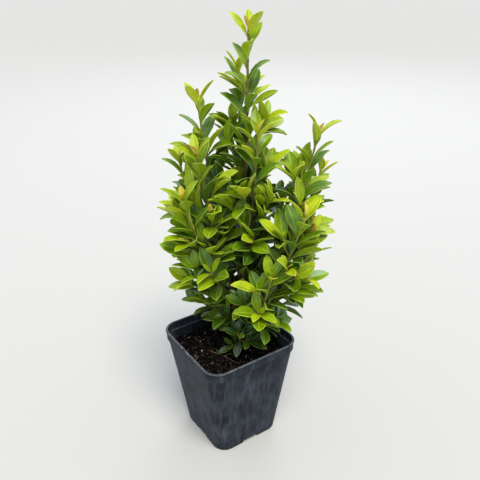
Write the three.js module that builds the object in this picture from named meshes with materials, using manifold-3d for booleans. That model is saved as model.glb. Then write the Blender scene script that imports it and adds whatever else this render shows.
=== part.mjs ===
// A young holly, Ilex maximowicziana, as grown for hedging: a bushy evergreen shrub about 27 cm
// tall above the compost, in a square 9 cm nursery pot.
// Millimetres, +Z up. The origin is the middle of the pot's flat underside, and the pot's sides
// face along X and Y, with -Y the front.

import * as THREE from 'three';
import { mergeVertices } from 'three/addons/utils/BufferGeometryUtils.js';
import Module from 'manifold-3d';

const wasm = await Module();
wasm.setup();
const { Manifold, Mesh: SolidMesh } = wasm;

// The pot: a thin-walled square pot with a collar round its mouth.
const potHeight = 100;
const rimWidth = 90;
const baseWidth = 64;
const rimCorner = 14;
const baseCorner = 12;
const wallThickness = 1.2;
const floorThickness = 1.6;
const collarHeight = 8.4;
const collarStep = 1.2;
const lipHeight = 2.4;
const lipStep = 0.8;
const baseChamfer = 1.2;
const drainWidth = 16;
const drainRise = 3.4;
const drainDepth = 4;
const cornerSteps = 5;

// The compost fills the pot to 14 mm under the rim, and its edge is rounded off.
const soilLevel = potHeight - 14;
const soilEdge = 1.5;

// Pieces stand this far apart, and joined solids lose edges shorter than the second value.
const gap = 0.3;
const smallestEdge = 0.03;

// The trunk stands a little off the pot's middle, leans, bends and forks a few centimetres up.
const trunkFoot = new THREE.Vector3(14, -4, soilLevel);
const trunkHeight = 58;
const trunkLean = new THREE.Vector3(-0.05, 0.06, 1);
const trunkBend = new THREE.Vector3(1.6, 0.8, 0);
const trunkFootRadius = 3.1;
const trunkTopRadius = 2.2;
const rootFlare = 1.9;
const flareHeight = 5;
const trunkSides = 10;
const boughSides = 6;

// Where a limb's rings lie: heights up the trunk, and shares of a bough's length.
const trunkRings = [0, 2, 5, 10, 18, 28, 38, 48];
const boughRings = [0, 0.33, 0.67, 1];

// Shoots rise from the trunk in tiers. A tier gives the height of its lowest fork, the rise from one
// fork to the next, the bare length before the leaves, the radius at the fork, the number and length
// of its side twigs, the size of its leaves, and its tips: degrees round from +X, reach from the
// trunk's foot, height above the compost. Old shoots have shed their lowest leaves, and the leaves of
// the low ones in the shade stay small.
const tiers = [
  { name: 'base', fork: 2.5, step: 1.6, bare: 0, radius: 1.1, twigs: 3, twigLength: 18, leafSize: 0.74,
    tips: [[-135, 30, 32], [8, 34, 30], [72, 34, 30]] },
  { name: 'low', fork: 8, step: 2.6, bare: 20, radius: 1.4, twigs: 5, twigLength: 30, leafSize: 0.95,
    tips: [[-98, 48, 94], [-25, 60, 96], [40, 62, 92], [104, 60, 98], [157, 47, 98]] },
  { name: 'middle', fork: 21.5, step: 2.6, bare: 36, radius: 1.5, twigs: 6, twigLength: 40, leafSize: 1,
    tips: [[-74, 59, 142], [-8, 72, 152], [50, 70, 156], [108, 68, 158], [172, 50, 150]] },
  { name: 'leader', fork: 35, step: 2.7, bare: 46, radius: 1.5, twigs: 7, twigLength: 44, leafSize: 1,
    tips: [[-46, 57, 197], [60, 38, 235], [112, 42, 214], [161, 36, 181], [-86, 18, 199]] },
  { name: 'centre', fork: trunkHeight + gap, step: 0, bare: 0, radius: 1.9, twigs: 7, twigLength: 42,
    leafSize: 1, tips: [[17, 8, 268]] },
];
const shootTipRadius = 0.55;
const shoulderReach = 0.6;
const shoulderRise = 0.32;
const lineSteps = 30;

// Side twigs leave a shoot between its bare foot and this share of its length, shorter towards the
// tip, and bend up. One that leaves its space is turned on and tried again.
const twigRange = 0.74;
const twigAngle = 50;
const twigBentAngle = 22;
const twigTaper = 1.15;
const twigRadius = 0.75;
const twigTipRadius = 0.4;
const twigVariation = 0.15;
const twigTries = 6;
const twigStart = 0.6;
const twigTests = [0.5, 0.8, 1];
const turnPerShoot = 47;

// Leaves sit singly round each stem, every 137.5 degrees, larger and flatter below, smaller and
// steeper near the tip. One that leaves its space is turned on and tried again, steeper each time.
const goldenAngle = 137.5;
const leafLength = 27;
const leafWidthShare = 0.48;
const leafWidest = 0.52;
const leafThickness = 1.1;
const leafArch = 0.05;
const leafSpacing = 8.2;
const twigLeafSpacing = 7.4;
const twigLeafSize = 0.9;
const leafAngleLow = 60;
const leafAngleTip = 37;
const tipLeafSize = 0.7;
const leafVariation = 0.12;
const leafStart = 0.3;
const leafTurnSway = 14;
const leafClear = 3;
const twigLeafClear = 6;
const leafTries = 4;
const leafTryTurn = 55;
const leafTrySteepen = 0.12;
const turnPerStem = 71;
const upwardPull = 0.18;
const rootSunk = 0.35;

// Below the tip by these shares of a stem, leaves are at their widest angle and at their full size.
const widestBelow = 0.625;
const fullBelow = 0.3125;

// Stems are three-sided, and swell so that they look as thick as round ones.
const stemSides = 3;
const stemSwell = 1.2;
const shootSteps = 6;
const twigSteps = 2;

// A mass keeps its leaves this much nearer to its own shoot than to the next, off the limbs by the
// second value, and off the compost and the rim by the last.
const spaceMargin = 1.3;
const limbMargin = 0.7;
const soilMargin = 2;

const radians = THREE.MathUtils.degToRad;
const up = new THREE.Vector3(0, 0, 1);
// Directions that no stem or limb runs along, from which turns round a stem and a limb are counted.
const turnsFrom = new THREE.Vector3(0.3, 1, 0.1);
const ringsFrom = new THREE.Vector3(1, 0.2, 0);

// A repeatable number from 0 to 1 for each trio of whole numbers.
function chance(a, b, c) {
  const value = Math.sin(a * 127.1 + b * 311.7 + c * 74.7 + 19.19) * 43758.5453;
  return value - Math.floor(value);
}

// A number from -1 to 1.
function sway(a, b, c) {
  return 2 * chance(a, b, c) - 1;
}

// Turns a closed geometry into a solid that can be cut and joined.
function solidOf(geometry) {
  const bare = geometry.clone();
  bare.deleteAttribute('normal');
  bare.deleteAttribute('uv');
  const merged = mergeVertices(bare, 1e-5);
  return new Manifold(new SolidMesh({
    numProp: 3,
    vertProperties: new Float32Array(merged.attributes.position.array),
    triVerts: new Uint32Array(merged.index.array),
  }));
}

// Turns a solid back into a geometry without its smallest edges, keeping its largest body if a
// scrap has come loose.
function geometryOf(solid) {
  const bodies = solid.simplify(smallestEdge).decompose().sort((a, b) => b.volume() - a.volume());
  const mesh = bodies[0].getMesh();
  const geometry = new THREE.BufferGeometry();
  geometry.setAttribute('position', new THREE.BufferAttribute(mesh.vertProperties, 3));
  geometry.setIndex(new THREE.BufferAttribute(mesh.triVerts, 1));
  geometry.computeVertexNormals();
  return geometry;
}

// Skins a row of rings, each with the same number of points, and closes both ends.
function loft(rings) {
  const sides = rings[0].length;
  const points = rings.flat();
  const faces = [];
  for (let r = 0; r + 1 < rings.length; r++) {
    for (let i = 0; i < sides; i++) {
      const a = r * sides + i;
      const b = r * sides + (i + 1) % sides;
      faces.push(a, b, b + sides, a, b + sides, a + sides);
    }
  }
  const last = (rings.length - 1) * sides;
  for (let i = 1; i + 1 < sides; i++) {
    faces.push(0, i + 1, i);
    faces.push(last, last + i, last + i + 1);
  }
  const geometry = new THREE.BufferGeometry().setFromPoints(points);
  geometry.setIndex(faces);
  return geometry;
}

// Pot

function roundedSquare(width, corner, z) {
  const ring = [];
  for (let side = 0; side < 4; side++) {
    const centre = new THREE.Vector2(width / 2 - corner, width / 2 - corner);
    centre.rotateAround(new THREE.Vector2(), side * Math.PI / 2);
    for (let step = 0; step <= cornerSteps; step++) {
      const angle = (side + step / cornerSteps) * Math.PI / 2;
      ring.push(new THREE.Vector3(
        centre.x + corner * Math.cos(angle), centre.y + corner * Math.sin(angle), z));
    }
  }
  return ring;
}

// The tapered body's outer width and corner at height z, below the collar.
const collarFoot = potHeight - collarHeight;
const bodyTopWidth = rimWidth - 2 * (lipStep + collarStep);
function bodyWidth(z) {
  return THREE.MathUtils.lerp(baseWidth, bodyTopWidth, z / collarFoot);
}
function bodyCorner(z) {
  return THREE.MathUtils.lerp(baseCorner, rimCorner - lipStep - collarStep, z / collarFoot);
}

function potGeometry() {
  const collarWidth = rimWidth - 2 * lipStep;
  const level = (z, width, corner) => roundedSquare(width, corner, z);
  const wall = (z, inset) => level(z, bodyWidth(z) - 2 * inset, bodyCorner(z) - inset);
  const rings = [
    level(0, baseWidth - 2 * baseChamfer, baseCorner - baseChamfer),
    wall(baseChamfer, 0),
    wall(collarFoot - collarStep, 0),
    level(collarFoot, collarWidth, rimCorner - lipStep),
    level(potHeight - lipHeight, collarWidth, rimCorner - lipStep),
    level(potHeight - lipHeight + lipStep, rimWidth, rimCorner),
    level(potHeight, rimWidth, rimCorner),
    level(potHeight, collarWidth - 2 * wallThickness, rimCorner - lipStep - wallThickness),
    level(collarFoot + wallThickness, collarWidth - 2 * wallThickness,
      rimCorner - lipStep - wallThickness),
    wall(collarFoot, wallThickness),
    wall(floorThickness, wallThickness),
  ];
  let pot = solidOf(loft(rings));
  for (let side = 0; side < 4; side++) {
    const slot = new THREE.BoxGeometry(drainDepth * 2, drainWidth, drainRise * 2);
    slot.translate(baseWidth / 2, 0, 0);
    slot.rotateZ(side * Math.PI / 2);
    pot = pot.subtract(solidOf(slot));
  }
  return geometryOf(pot);
}

function soilGeometry() {
  const inset = wallThickness + gap;
  const level = (z, edge) => roundedSquare(
    bodyWidth(z) - 2 * inset - 2 * edge, bodyCorner(z) - inset - edge, z);
  return loft([
    level(floorThickness + gap, 0),
    level(soilLevel - soilEdge, 0),
    level(soilLevel, soilEdge),
  ]);
}

// Trunk and boughs

// A limb through the given points, with a radius for each and rings square to its line.
// With a level foot, its first ring lies flat on the compost.
function limb(points, radii, sides, levelFoot) {
  const ends = points.length - 1;
  let across = ringsFrom;
  const rings = points.map((point, i) => {
    const ahead = points[Math.min(i + 1, ends)];
    const behind = points[Math.max(i - 1, 0)];
    const along = new THREE.Vector3().subVectors(ahead, behind).normalize();
    if (levelFoot && i === 0) along.copy(up);
    across = across.clone().addScaledVector(along, -across.dot(along)).normalize();
    const other = new THREE.Vector3().crossVectors(along, across);
    const ring = [];
    for (let s = 0; s < sides; s++) {
      const angle = 2 * Math.PI * s / sides;
      ring.push(point.clone()
        .addScaledVector(across, radii[i] * Math.cos(angle))
        .addScaledVector(other, radii[i] * Math.sin(angle)));
    }
    return ring;
  });
  return loft(rings);
}

function trunkPoint(height) {
  return trunkFoot.clone()
    .addScaledVector(trunkLean, height)
    .addScaledVector(trunkBend, Math.sin(height / trunkHeight * Math.PI));
}

function trunkRadius(height) {
  const flare = rootFlare * Math.exp(-height / flareHeight);
  return THREE.MathUtils.lerp(trunkFootRadius, trunkTopRadius, height / trunkHeight) + flare;
}

function trunkGeometry(extra) {
  const heights = [...trunkRings, trunkHeight + extra];
  return limb(heights.map(trunkPoint), heights.map((h) => trunkRadius(h) + extra), trunkSides, true);
}

// Each shoot's line is a curve of three points: its foot on the trunk, a shoulder and its tip.
// Neighbours in a tier fork two steps apart, so that no two boughs touch where they start.
function makeShoots() {
  const shoots = [];
  for (const tier of tiers) {
    tier.tips.forEach(([turn, reach, height], i) => {
      const foot = trunkPoint(tier.fork + tier.step * (2 * i % tier.tips.length));
      const tip = trunkFoot.clone().add(new THREE.Vector3(
        reach * Math.cos(radians(turn)), reach * Math.sin(radians(turn)), height));
      const shoulder = foot.clone().lerp(tip, shoulderReach)
        .setZ(THREE.MathUtils.lerp(foot.z, tip.z, shoulderRise));
      const curve = new THREE.QuadraticBezierCurve3(foot, shoulder, tip);
      const length = curve.getLength();
      shoots.push({
        tier, curve, length,
        number: shoots.length,
        name: `${tier.name}_${i + 1}`,
        bare: tier.bare / length,
        line: curve.getSpacedPoints(lineSteps),
      });
    });
  }
  return shoots;
}

function shootRadius(shoot, share) {
  return THREE.MathUtils.lerp(shoot.tier.radius, shootTipRadius, share);
}

function boughGeometry(shoot, trunkHollow) {
  const shares = boughRings.map((s) => s * shoot.bare);
  const bough = solidOf(limb(
    shares.map((s) => shoot.curve.getPointAt(s)),
    shares.map((s) => shootRadius(shoot, s)), boughSides));
  return geometryOf(bough.subtract(trunkHollow));
}

// Foliage

function distanceToLine(line, point) {
  const span = new THREE.Line3();
  const nearest = new THREE.Vector3();
  let least = Infinity;
  for (let i = 0; i + 1 < line.length; i++) {
    span.set(line[i], line[i + 1]).closestPointToPoint(point, true, nearest);
    least = Math.min(least, nearest.distanceTo(point));
  }
  return least;
}

const trunkLine = [0, 20, 40, trunkHeight].map(trunkPoint);
const innerRim = rimWidth / 2 - lipStep - wallThickness;

// Whether a point lies in the shoot's own space: nearer to its line than to any other shoot's,
// clear of the limbs, and clear of the compost and the pot's rim.
function inSpace(shoot, shoots, point) {
  const own = distanceToLine(shoot.line, point);
  const side = Math.max(Math.abs(point.x), Math.abs(point.y));
  if (point.z < soilLevel + soilMargin) return false;
  if (point.z < potHeight + soilMargin && side > innerRim - soilMargin) return false;
  if (distanceToLine(trunkLine, point) < trunkFootRadius + limbMargin) return false;
  return shoots.every((other) => other === shoot || distanceToLine(other.line, point)
    > Math.max(own + spaceMargin, other.tier.radius + limbMargin));
}

// The five corners of a leaf: its root, its tip, its two edges and the raised back of its midrib.
function leafCorners(root, along, face, length) {
  const across = new THREE.Vector3().crossVectors(along, face).normalize();
  const middle = root.clone().addScaledVector(along, leafWidest * length)
    .addScaledVector(face, leafArch * length);
  const half = leafWidthShare * length / 2;
  return [
    root,
    root.clone().addScaledVector(along, length),
    middle.clone().addScaledVector(across, half),
    middle.clone().addScaledVector(across, -half),
    middle.clone().addScaledVector(face, leafThickness),
  ];
}

function leafSolid(corners) {
  const geometry = new THREE.BufferGeometry().setFromPoints(corners);
  geometry.setIndex([0, 3, 2, 1, 2, 3, 0, 2, 4, 0, 4, 3, 1, 4, 2, 1, 3, 4]);
  return solidOf(geometry);
}

// A direction leaning out from a stem by an angle, at a turn round it, drawn up to the light.
function leaning(along, turn, angle) {
  const aside = new THREE.Vector3().crossVectors(along, turnsFrom).normalize();
  const radial = aside.applyAxisAngle(along, radians(turn));
  return along.clone().multiplyScalar(Math.cos(radians(angle)))
    .addScaledVector(radial, Math.sin(radians(angle)))
    .addScaledVector(up, upwardPull)
    .normalize();
}

// Leaves up a stem, each turned on from the last, tried at a few turns until it lies in its space
// and clear of the other stems and leaves of its mass.
function addLeaves(stem, mass, shoot, shoots) {
  const first = stem.start + stem.clear / stem.length;
  const room = (1 - first) * stem.length;
  const count = Math.floor(room / stem.spacing) + 2;
  for (let n = 0; n < count; n++) {
    const share = Math.min(1, first + (1 - first) * (n + leafStart) / (count - 1));
    const root = stem.curve.getPointAt(share);
    const along = stem.curve.getTangentAt(share);
    const age = 1 - share;
    const angle = THREE.MathUtils.lerp(leafAngleTip, leafAngleLow, Math.min(1, age / widestBelow));
    const size = leafLength * shoot.tier.leafSize * stem.size
      * THREE.MathUtils.lerp(tipLeafSize, 1, Math.min(1, age / fullBelow))
      * (1 + leafVariation * sway(shoot.number, stem.number, n + 0.5));
    for (let attempt = 0; attempt < leafTries; attempt++) {
      const turn = n * goldenAngle + stem.number * turnPerStem + attempt * leafTryTurn
        + leafTurnSway * sway(shoot.number, stem.number, n);
      const direction = leaning(along, turn, angle * (1 - leafTrySteepen * attempt));
      const across = new THREE.Vector3().crossVectors(along, direction).normalize();
      const face = new THREE.Vector3().crossVectors(direction, across);
      const sunk = root.clone().addScaledVector(direction, -rootSunk * stem.radius(share));
      const corners = leafCorners(sunk, direction, face, size);
      if (!corners.slice(1).every((corner) => inSpace(shoot, shoots, corner))) continue;
      const leaf = leafSolid(corners);
      if (mass.every((other) => other === stem.solid || leaf.intersect(other).isEmpty())) {
        mass.push(leaf);
        break;
      }
    }
  }
}

function stemSolid(stem) {
  const shares = [];
  for (let i = 0; i <= stem.steps; i++) {
    shares.push(THREE.MathUtils.lerp(stem.start, 1, i / stem.steps));
  }
  return solidOf(limb(
    shares.map((s) => stem.curve.getPointAt(Math.min(1, s))),
    shares.map((s) => stemSwell * stem.radius(s)), stemSides));
}

// A side twig that bends up from the shoot, or nothing where it would leave the shoot's space.
function sideTwig(shoot, shoots, k) {
  const share = THREE.MathUtils.lerp(shoot.bare, twigRange, (k + twigStart) / shoot.tier.twigs);
  const foot = shoot.curve.getPointAt(share);
  const along = shoot.curve.getTangentAt(share);
  const length = shoot.tier.twigLength * (twigTaper - share)
    * (1 + twigVariation * sway(shoot.number, k, 0));
  for (let attempt = 0; attempt < twigTries; attempt++) {
    const turn = k * goldenAngle + shoot.number * turnPerShoot + attempt * 360 / twigTries;
    const direction = leaning(along, turn, twigAngle);
    const bend = foot.clone().addScaledVector(direction, length / 2);
    const tip = bend.clone().addScaledVector(leaning(along, turn, twigBentAngle), length / 2);
    const curve = new THREE.QuadraticBezierCurve3(foot, bend, tip);
    if (twigTests.every((s) => inSpace(shoot, shoots, curve.getPoint(s)))) {
      return {
        curve, start: 0, length: curve.getLength(), number: k + 1, clear: twigLeafClear,
        spacing: twigLeafSpacing, size: twigLeafSize, steps: twigSteps,
        radius: (s) => THREE.MathUtils.lerp(twigRadius, twigTipRadius, s),
      };
    }
  }
  return null;
}

function foliageGeometry(shoot, shoots, trunkHollow) {
  const main = {
    curve: shoot.curve, start: shoot.bare + gap / shoot.length, length: shoot.length, number: 0,
    clear: leafClear, spacing: leafSpacing, size: 1, steps: shootSteps,
    radius: (s) => shootRadius(shoot, s),
  };
  const stems = [main];
  for (let k = 0; k < shoot.tier.twigs; k++) {
    const twig = sideTwig(shoot, shoots, k);
    if (twig) stems.push(twig);
  }
  for (const stem of stems) stem.solid = stemSolid(stem);
  const mass = stems.map((stem) => stem.solid);
  for (const stem of stems) addLeaves(stem, mass, shoot, shoots);
  return geometryOf(Manifold.union(mass).subtract(trunkHollow));
}

// Materials

const potPlastic = new THREE.MeshStandardMaterial({ color: 0x3b3f46, roughness: 0.55, metalness: 0 });
const compost = new THREE.MeshStandardMaterial({ color: 0x1e1714, roughness: 1, metalness: 0 });
const bark = new THREE.MeshStandardMaterial({ color: 0x6a5436, roughness: 0.85, metalness: 0 });
const greenBark = new THREE.MeshStandardMaterial({ color: 0x6f7434, roughness: 0.7, metalness: 0 });
const foliage = new THREE.MeshStandardMaterial({ color: 0x4c6a18, roughness: 0.45, metalness: 0 });

function piece(name, geometry, material) {
  const mesh = new THREE.Mesh(geometry, material);
  mesh.name = name;
  return mesh;
}

const part = new THREE.Group();
part.name = 'potted_holly';

const container = new THREE.Group();
container.add(piece('pot', potGeometry(), potPlastic));
container.add(piece('compost', soilGeometry(), compost));
part.add(container);

const plant = new THREE.Group();
plant.add(piece('trunk', trunkGeometry(0), bark));
const trunkHollow = solidOf(trunkGeometry(gap));
const shoots = makeShoots();
for (const shoot of shoots) {
  if (shoot.bare > 0) {
    plant.add(piece(`bough_${shoot.name}`, boughGeometry(shoot, trunkHollow), greenBark));
  }
  plant.add(piece(`foliage_${shoot.name}`, foliageGeometry(shoot, shoots, trunkHollow), foliage));
}
part.add(plant);

export default part;
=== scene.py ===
# %% [markdown]
# A young holly in its nursery pot
#
# The real thing is an evergreen shrub grown for hedges, about 27 cm tall above its compost. Some
# twenty leafy shoots rise from one short trunk, out of a square pot of grey plastic.
# The bare solids of the plant give the places of everything here: the pot, the compost, the trunk,
# the boughs and the space that each shoot's foliage fills. This lesson dresses them. It makes a
# finer pot, crumbly compost, stems with bark, and real-size leaves that grow by the same rule as
# the solids, so that each shoot reaches just where its solid does.

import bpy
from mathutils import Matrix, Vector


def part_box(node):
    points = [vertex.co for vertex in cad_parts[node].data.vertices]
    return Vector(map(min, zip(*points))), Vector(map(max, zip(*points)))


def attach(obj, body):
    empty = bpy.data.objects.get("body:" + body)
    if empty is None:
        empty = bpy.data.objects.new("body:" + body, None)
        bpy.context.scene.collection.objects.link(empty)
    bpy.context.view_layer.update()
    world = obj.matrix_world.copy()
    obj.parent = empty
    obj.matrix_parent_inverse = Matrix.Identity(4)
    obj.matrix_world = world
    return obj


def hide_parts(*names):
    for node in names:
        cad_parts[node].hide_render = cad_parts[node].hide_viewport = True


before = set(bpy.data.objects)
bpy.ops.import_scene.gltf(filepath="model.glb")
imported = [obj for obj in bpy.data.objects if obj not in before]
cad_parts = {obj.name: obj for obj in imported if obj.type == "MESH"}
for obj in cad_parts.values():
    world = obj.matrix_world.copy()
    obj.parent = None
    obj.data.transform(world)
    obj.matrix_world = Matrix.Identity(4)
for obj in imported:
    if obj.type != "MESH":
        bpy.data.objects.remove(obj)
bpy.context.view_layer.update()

# %% [markdown]
# Small tools
#
# Sizes are written in millimetres, as one would measure a plant, and become metres once, when a
# mesh is made. Colours are written as they look on a screen, in hex, and Blender wants linear
# light, so one function turns them. One more adds a node to any tree with its settings and links,
# which keeps the shaders and the geometry trees below short enough to read. Two small ones set a new
# object in the scene and start a material.

# %% Units, colours and nodes
import math

import bpy
import numpy as np
from mathutils import Matrix, Vector, noise
from mathutils.bvhtree import BVHTree

MM = 0.001


def linear(code):
    """An sRGB hex colour as linear red, green, blue and alpha."""
    parts = [int(code[i:i + 2], 16) / 255 for i in (1, 3, 5)]
    return (*[p / 12.92 if p <= 0.04045 else ((p + 0.055) / 1.055) ** 2.4 for p in parts], 1.0)


def in_scene(name, data):
    """A new object in the scene, with a mesh, a lamp or a camera as its data."""
    thing = bpy.data.objects.new(name, data)
    bpy.context.scene.collection.objects.link(thing)
    return thing


def add(tree, kind, inputs=None, out=0, stops=None, **settings):
    """Adds a node, sets it, fills or links its inputs, and gives back one of its outputs."""
    node = tree.nodes.new(kind)
    for name, value in settings.items():
        setattr(node, name, value)
    for name, value in (inputs or {}).items():
        if isinstance(value, bpy.types.NodeSocket):
            tree.links.new(value, node.inputs[name])
        else:
            node.inputs[name].default_value = value
    if stops:
        ramp = node.color_ramp.elements
        while len(ramp) < len(stops):
            ramp.new(0.5)
        for element, (place, code) in zip(ramp, stops):
            element.position = place
            element.color = linear(code)
    return node.outputs[out] if node.outputs else node


def new_material(name):
    """An empty material's tree, with its object coordinates."""
    material = bpy.data.materials.new(name)
    material.use_nodes = True
    material.node_tree.nodes.clear()
    place = add(material.node_tree, "ShaderNodeTexCoord", out="Object")
    return material, material.node_tree, place


print("mid grey on a screen is", round(linear("#808080")[0], 3), "in linear light")

# %% [markdown]
# The camera, the floor and the light
#
# The photograph looks down on the plant from about half a metre away, turned about thirty degrees
# to the left of its front. The camera stands at that same place, which keeps the same perspective,
# and a slightly longer lens fills the frame with this one plant.
# A nursery's product photograph is lit by soft daylight from above. A ring of lamps could give that,
# but one sun with a wide disc does most of it, with softer shadows the wider it is. A lamp behind
# gives the leaves their edge of light, and a pale world fills the shadows.

# %% Camera
CAMERA_PLACE = Vector((-230.5, -368.2, 415.9)) * MM
CAMERA_AIM = Vector((13, 0, 189)) * MM
# The photograph's own sideways direction, which leans by three degrees.
CAMERA_SIDE = Vector((0.866, -0.498, -0.048))
LENS = 45
SENSOR_WIDTH = 36

camera = in_scene("camera", bpy.data.cameras.new("camera"))
camera.data.lens = LENS
camera.data.sensor_width = SENSOR_WIDTH
ahead = (CAMERA_AIM - CAMERA_PLACE).normalized()
side = (CAMERA_SIDE - ahead * CAMERA_SIDE.dot(ahead)).normalized()
camera.matrix_world = Matrix.Translation(CAMERA_PLACE) @ Matrix(
    (side, side.cross(ahead), -ahead)).transposed().to_4x4()
bpy.context.scene.camera = camera
print("camera to plant, mm:", round((CAMERA_AIM - CAMERA_PLACE).length / MM))

# %% Floor
FLOOR_REACH = 30.0
floor_mesh = bpy.data.meshes.new("floor")
floor_mesh.from_pydata(
    [(-FLOOR_REACH, -FLOOR_REACH, 0), (FLOOR_REACH, -FLOOR_REACH, 0),
     (FLOOR_REACH, FLOOR_REACH, 0), (-FLOOR_REACH, FLOOR_REACH, 0)], [], [(0, 1, 2, 3)])
floor = in_scene("floor", floor_mesh)
floor_paint, tree, _ = new_material("matt white studio floor")
surface = add(tree, "ShaderNodeBsdfPrincipled", {"Base Color": linear("#bdbdbb"), "Roughness": 0.9})
add(tree, "ShaderNodeOutputMaterial", {"Surface": surface})
floor_mesh.materials.append(floor_paint)
print("floor, metres across:", 2 * FLOOR_REACH)

# %% Light
SUN_PLACE = Vector((-0.14, -0.7, 1.6))
SUN_STRENGTH = 3.1
SUN_SPREAD = 28
BACK_PLACE = Vector((0.9, 0.9, 1.1))
BACK_SIZE = 0.9
BACK_POWER = 6
SKY_STRENGTH = 0.8

sun = bpy.data.lights.new("daylight", "SUN")
sun.energy = SUN_STRENGTH
sun.angle = math.radians(SUN_SPREAD)
sun.color = linear("#fffaf0")[:3]
back_lamp = bpy.data.lights.new("edge light", "AREA")
back_lamp.size = BACK_SIZE
back_lamp.energy = BACK_POWER
back_lamp.color = linear("#f2f7ff")[:3]
for lamp, lamp_place in ((sun, SUN_PLACE), (back_lamp, BACK_PLACE)):
    holder = in_scene(lamp.name, lamp)
    holder.location = lamp_place
    holder.rotation_mode = "QUATERNION"
    holder.rotation_quaternion = (CAMERA_AIM - lamp_place).to_track_quat("-Z", "Y")

world = bpy.data.worlds.new("pale daylight")
world.use_nodes = True
sky = world.node_tree.nodes["Background"]
sky.inputs["Color"].default_value = linear("#e8f0fb")
sky.inputs["Strength"].default_value = SKY_STRENGTH
bpy.context.scene.world = world
bpy.context.scene.view_settings.view_transform = "Standard"
print("lamps:", len(bpy.data.lights))

# %% [markdown]
# The pot: its shape
#
# A nursery pot is blown or pressed from a thin sheet of plastic, just over a millimetre thick. It
# tapers so that pots nest, has a collar round its mouth that stops them jamming, and ends in a
# rolled lip. The walls give a little between the stiff corners, so they are never quite flat.
# It could be a cube with bevels, but a tapering wall with round corners, a stepped collar and a
# rolled lip is easier as a loft: one ring of points, written as a function of width, corner and
# height, is repeated up the outside, over the lip and down the inside.

# %% Pot sizes
pot_low, pot_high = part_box("pot")
POT_HEIGHT = (pot_high.z - pot_low.z) / MM
RIM_WIDTH = (pot_high.x - pot_low.x) / MM
BASE_WIDTH = 64
RIM_CORNER = 14
BASE_CORNER = 12
WALL = 1.2
FLOOR_THICKNESS = 1.6
LIP = 0.8
COLLAR_STEP = 1.2
COLLAR_FOOT = POT_HEIGHT - 8.4
COLLAR_WIDTH = RIM_WIDTH - 2 * LIP
BODY_TOP = COLLAR_WIDTH - 2 * COLLAR_STEP
# How far the middle of a wall gives inward.
WALL_BOW = 0.5
print("pot, mm:", round(RIM_WIDTH, 1), "across its rim and", round(POT_HEIGHT, 1), "high")

# %% Rings, and a skin over them
CORNER_STEPS = 12
SIDE_STEPS = 48


def mix(a, b, share):
    """The value that lies a share of the way from a to b."""
    return a + (b - a) * share


def square_ring(z, width, corner, bow=0.0):
    """Points round a square with round corners, its sides bowed inward."""
    ring = []
    straight = width / 2 - corner
    for quarter in range(4):
        arc = [(straight + corner * math.cos(a), straight + corner * math.sin(a))
               for a in np.linspace(0, math.pi / 2, CORNER_STEPS + 1)]
        run = [(mix(straight, -straight, s), width / 2 - bow * math.sin(math.pi * s))
               for s in np.arange(1, SIDE_STEPS) / SIDE_STEPS]
        turned = np.exp(0.5j * math.pi * quarter) * np.array([complex(*p) for p in arc + run])
        ring += [(p.real, p.imag, z) for p in turned]
    return ring


def loft(rings):
    """Points and faces of a skin over rings with the same number of points, closed at both ends."""
    around = len(rings[0])
    points = [p for ring in rings for p in ring]
    faces = []
    for row in range(len(rings) - 1):
        for i in range(around):
            a = row * around + i
            b = row * around + (i + 1) % around
            faces.append((a, b, b + around, a + around))
    faces.append(tuple(reversed(range(around))))
    faces.append(tuple(len(points) - around + i for i in range(around)))
    return points, faces


def wall_ring(z, inset=0.0):
    """The tapered wall's outline at a height, or one set in from it."""
    share = z / COLLAR_FOOT
    width = mix(BASE_WIDTH, BODY_TOP, share)
    corner = mix(BASE_CORNER, RIM_CORNER - LIP - COLLAR_STEP, share)
    bow = WALL_BOW * math.sin(math.pi * share)
    return square_ring(z, width - 2 * inset, corner - inset, bow)


def collar_ring(z, out=0.0):
    """The collar's outline at a height, or one set out from it."""
    return square_ring(z, COLLAR_WIDTH + 2 * out, RIM_CORNER - LIP + out)


print("points in a ring:", len(wall_ring(0)))

# %% Loft the pot
WALL_RINGS = 58
BASE_ROUND = 1.2
LIP_CENTRE = POT_HEIGHT - LIP
# The lip's roll starts this many of its radii below its centre, and its inner edge is rounded off.
LIP_FOOT = 1.4
LIP_STEPS = 7
INNER_ROUND = 0.4
ROUND_STEPS = 4
# Inside, the collar meets the wall in a small ledge. Each of its two edges has a rise over the
# collar's foot and an inset, in thicknesses of the wall.
LEDGE = ((1.6, 1.0), (1.0, 1.3))
LEDGE_FOOT = 0.4

pot_rings = []
for angle in np.linspace(0, math.pi / 2, ROUND_STEPS):
    inset = BASE_ROUND * (1 - math.sin(angle))
    pot_rings.append(wall_ring(BASE_ROUND * (1 - math.cos(angle)), inset))
for z in np.linspace(BASE_ROUND, COLLAR_FOOT - COLLAR_STEP, WALL_RINGS)[1:]:
    pot_rings.append(wall_ring(z))
for angle in np.linspace(-math.pi / 2, 0, ROUND_STEPS)[1:]:
    out = COLLAR_STEP * (math.cos(angle) - 1)
    pot_rings.append(collar_ring(COLLAR_FOOT + 0.5 * COLLAR_STEP * math.sin(angle), out))
pot_rings.append(collar_ring(LIP_CENTRE - LIP_FOOT * LIP))
for angle in np.linspace(-math.pi / 3, math.pi / 2, LIP_STEPS):
    pot_rings.append(collar_ring(LIP_CENTRE + LIP * math.sin(angle), LIP * math.cos(angle)))
for angle in np.linspace(math.pi / 2, 0, ROUND_STEPS):
    inset = WALL - INNER_ROUND * (1 - math.cos(angle))
    pot_rings.append(collar_ring(POT_HEIGHT - INNER_ROUND * (1 - math.sin(angle)), -inset))
for rise, inset in LEDGE:
    pot_rings.append(collar_ring(COLLAR_FOOT + rise * WALL, -inset * WALL))
pot_rings.append(wall_ring(COLLAR_FOOT + LEDGE_FOOT * WALL, WALL))
pot_rings.append(wall_ring(FLOOR_THICKNESS, WALL))
pot_points, pot_faces = loft(pot_rings)
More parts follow.
